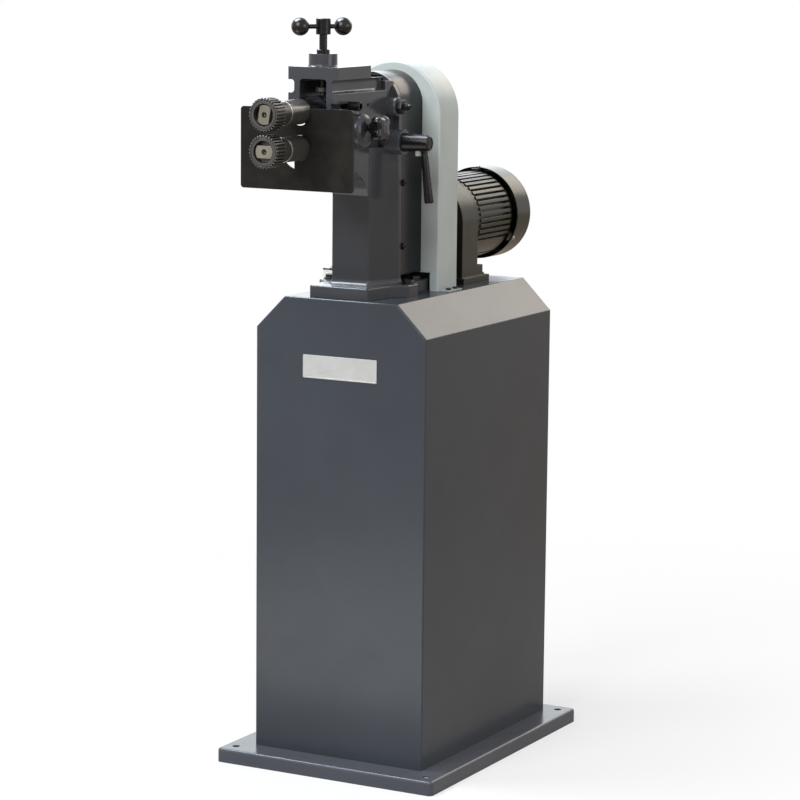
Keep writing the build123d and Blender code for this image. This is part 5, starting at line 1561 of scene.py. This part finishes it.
@dataclass
class Studio:
    """Camera, floor and light.

    Attributes:
        eye: place of the camera in metres.
        azimuth: how far the camera stands round to the right, in degrees.
        pitch: how far it looks down, in degrees.
        roll: how far it is tipped, in degrees.
        lens: focal length in millimetres.
        sensor: width of the sensor in millimetres.
        floor_radius: radius of the floor in metres.
        floor_colour: colour of the floor where it keeps a shadow.
        fade: where the floor starts and ends to fade to white, in metres from the middle.
        fade_share: share of white at these places.
        surround: strength of the surround as a source of light.
        sheen: strength of the floor where a surface reflects it.
        ground: tint of the floor where a surface reflects it.
    """

    eye: Point = (2.614038, -4.823405, 1.522264)
    azimuth: float = 28.540
    pitch: float = 8.966
    roll: float = 0.576
    lens: float = 133.62
    sensor: float = 36.0
    floor_radius: float = 14.0
    floor_colour: Colour = (0.86, 0.86, 0.86)
    fade: Pair = (0.4, 2.2)
    fade_share: Pair = (0.6, 1.0)
    surround: float = 0.3
    sheen: float = 0.58
    ground: Colour = (1.0, 0.86, 0.72)

    def build(self) -> None:
        """Makes the camera, the floor, the world and the lamps."""
        scene = bpy.context.scene
        scene.view_settings.view_transform = "Standard"
        scene.camera = self.camera()
        self.world(scene)
        self.floor()
        for lamp in LAMPS:
            lamp.hang()

    def camera(self) -> bpy.types.Object:
        """Makes the camera at the photograph's viewing angle.

        Returns:
            The camera.
        """
        turn, pitch, roll = (math.radians(angle) for angle in (self.azimuth, self.pitch, self.roll))
        right = Vector((math.cos(turn), math.sin(turn), 0))
        back = Vector((math.sin(turn) * math.cos(pitch), -math.cos(turn) * math.cos(pitch), math.sin(pitch)))
        up = back.cross(right)
        tipped = right * math.cos(roll) + up * math.sin(roll)
        upright = up * math.cos(roll) - right * math.sin(roll)
        data = bpy.data.cameras.new("camera")
        data.sensor_width = self.sensor
        data.lens = self.lens
        camera = bpy.data.objects.new("camera", data)
        bpy.context.scene.collection.objects.link(camera)
        facing = Matrix((tipped, upright, back)).transposed().to_4x4()
        camera.matrix_world = Matrix.Translation(self.eye) @ facing
        return camera

    def seen_level(self, nodes: Nodes, reflected: float = 1.0) -> Socket:
        """Gives 1 where a surface is seen, a level where it is reflected and a weak one where it lights.

        Args:
            nodes: the nodes to add it to.
            reflected: level where it is reflected.

        Returns:
            The level.
        """
        path = nodes.add("LightPath")
        seen = path.outputs["Is Camera Ray"]
        share = (reflected - self.surround) / (1.0 - self.surround)
        for name, part in (("Is Glossy Ray", share), ("Is Transmission Ray", 1.0)):
            seen = nodes.math("MAXIMUM", seen, nodes.math("MULTIPLY", path.outputs[name], part))
        return nodes.spread(seen, FULL, (self.surround, 1.0))

    def world(self, scene: bpy.types.Scene) -> None:
        """Makes a white surround that lights softly.

        Args:
            scene: the scene.
        """
        world = bpy.data.worlds.new("surround")
        scene.world = world
        world.use_nodes = True
        nodes = Nodes(world.node_tree)
        background = world.node_tree.nodes["Background"]
        nodes.feed(background.inputs["Color"], (1.0, 1.0, 1.0))
        nodes.feed(background.inputs["Strength"], self.seen_level(nodes))

    def floor(self) -> None:
        """Makes a pale floor that keeps the shadow and fades to white."""
        mesh = bpy.data.meshes.new("floor")
        shape = bmesh.new()
        bmesh.ops.create_circle(shape, cap_ends=True, segments=Steps.DISC, radius=self.floor_radius)
        shape.to_mesh(mesh)
        shape.free()
        floor = bpy.data.objects.new("floor", mesh)
        bpy.context.scene.collection.objects.link(floor)
        graph = Graph("pale_floor")
        graph.finish(Base_Color=self.floor_colour, Roughness=0.9, Specular_IOR_Level=0.1)
        glow = graph.add("Emission")
        graph.feed(glow.inputs["Strength"], self.seen_level(graph, self.sheen))
        seen = graph.add("LightPath").outputs["Is Camera Ray"]
        graph.feed(glow.inputs["Color"], graph.mix(seen, self.ground, (1.0, 1.0, 1.0)))
        length = graph.add("VectorMath", operation="LENGTH")
        graph.feed(length.inputs[0], graph.place)
        blend = graph.add("MixShader")
        graph.feed(blend.inputs[0], graph.spread(length.outputs["Value"], self.fade, self.fade_share))
        graph.feed(blend.inputs[1], graph.shader.outputs["BSDF"])
        graph.feed(blend.inputs[2], glow.outputs["Emission"])
        graph.feed(graph.tree.nodes["Material Output"].inputs["Surface"], blend.outputs["Shader"])
        floor.data.materials.append(graph.material)


def main() -> None:
    """Builds the looks in order."""
    logging.basicConfig(level=logging.INFO)
    Studio().build()
    shop = Workshop()
    units = (Cabinet(), Head(), Rolls(), Feed(), Fence(), SleeveClamp(), Drive(), MotorUnit(), SwitchUnit())
    for unit in units:
        log.info("building %s", type(unit).__name__)
        unit.build(shop)


if __name__ == "__main__":
    main()
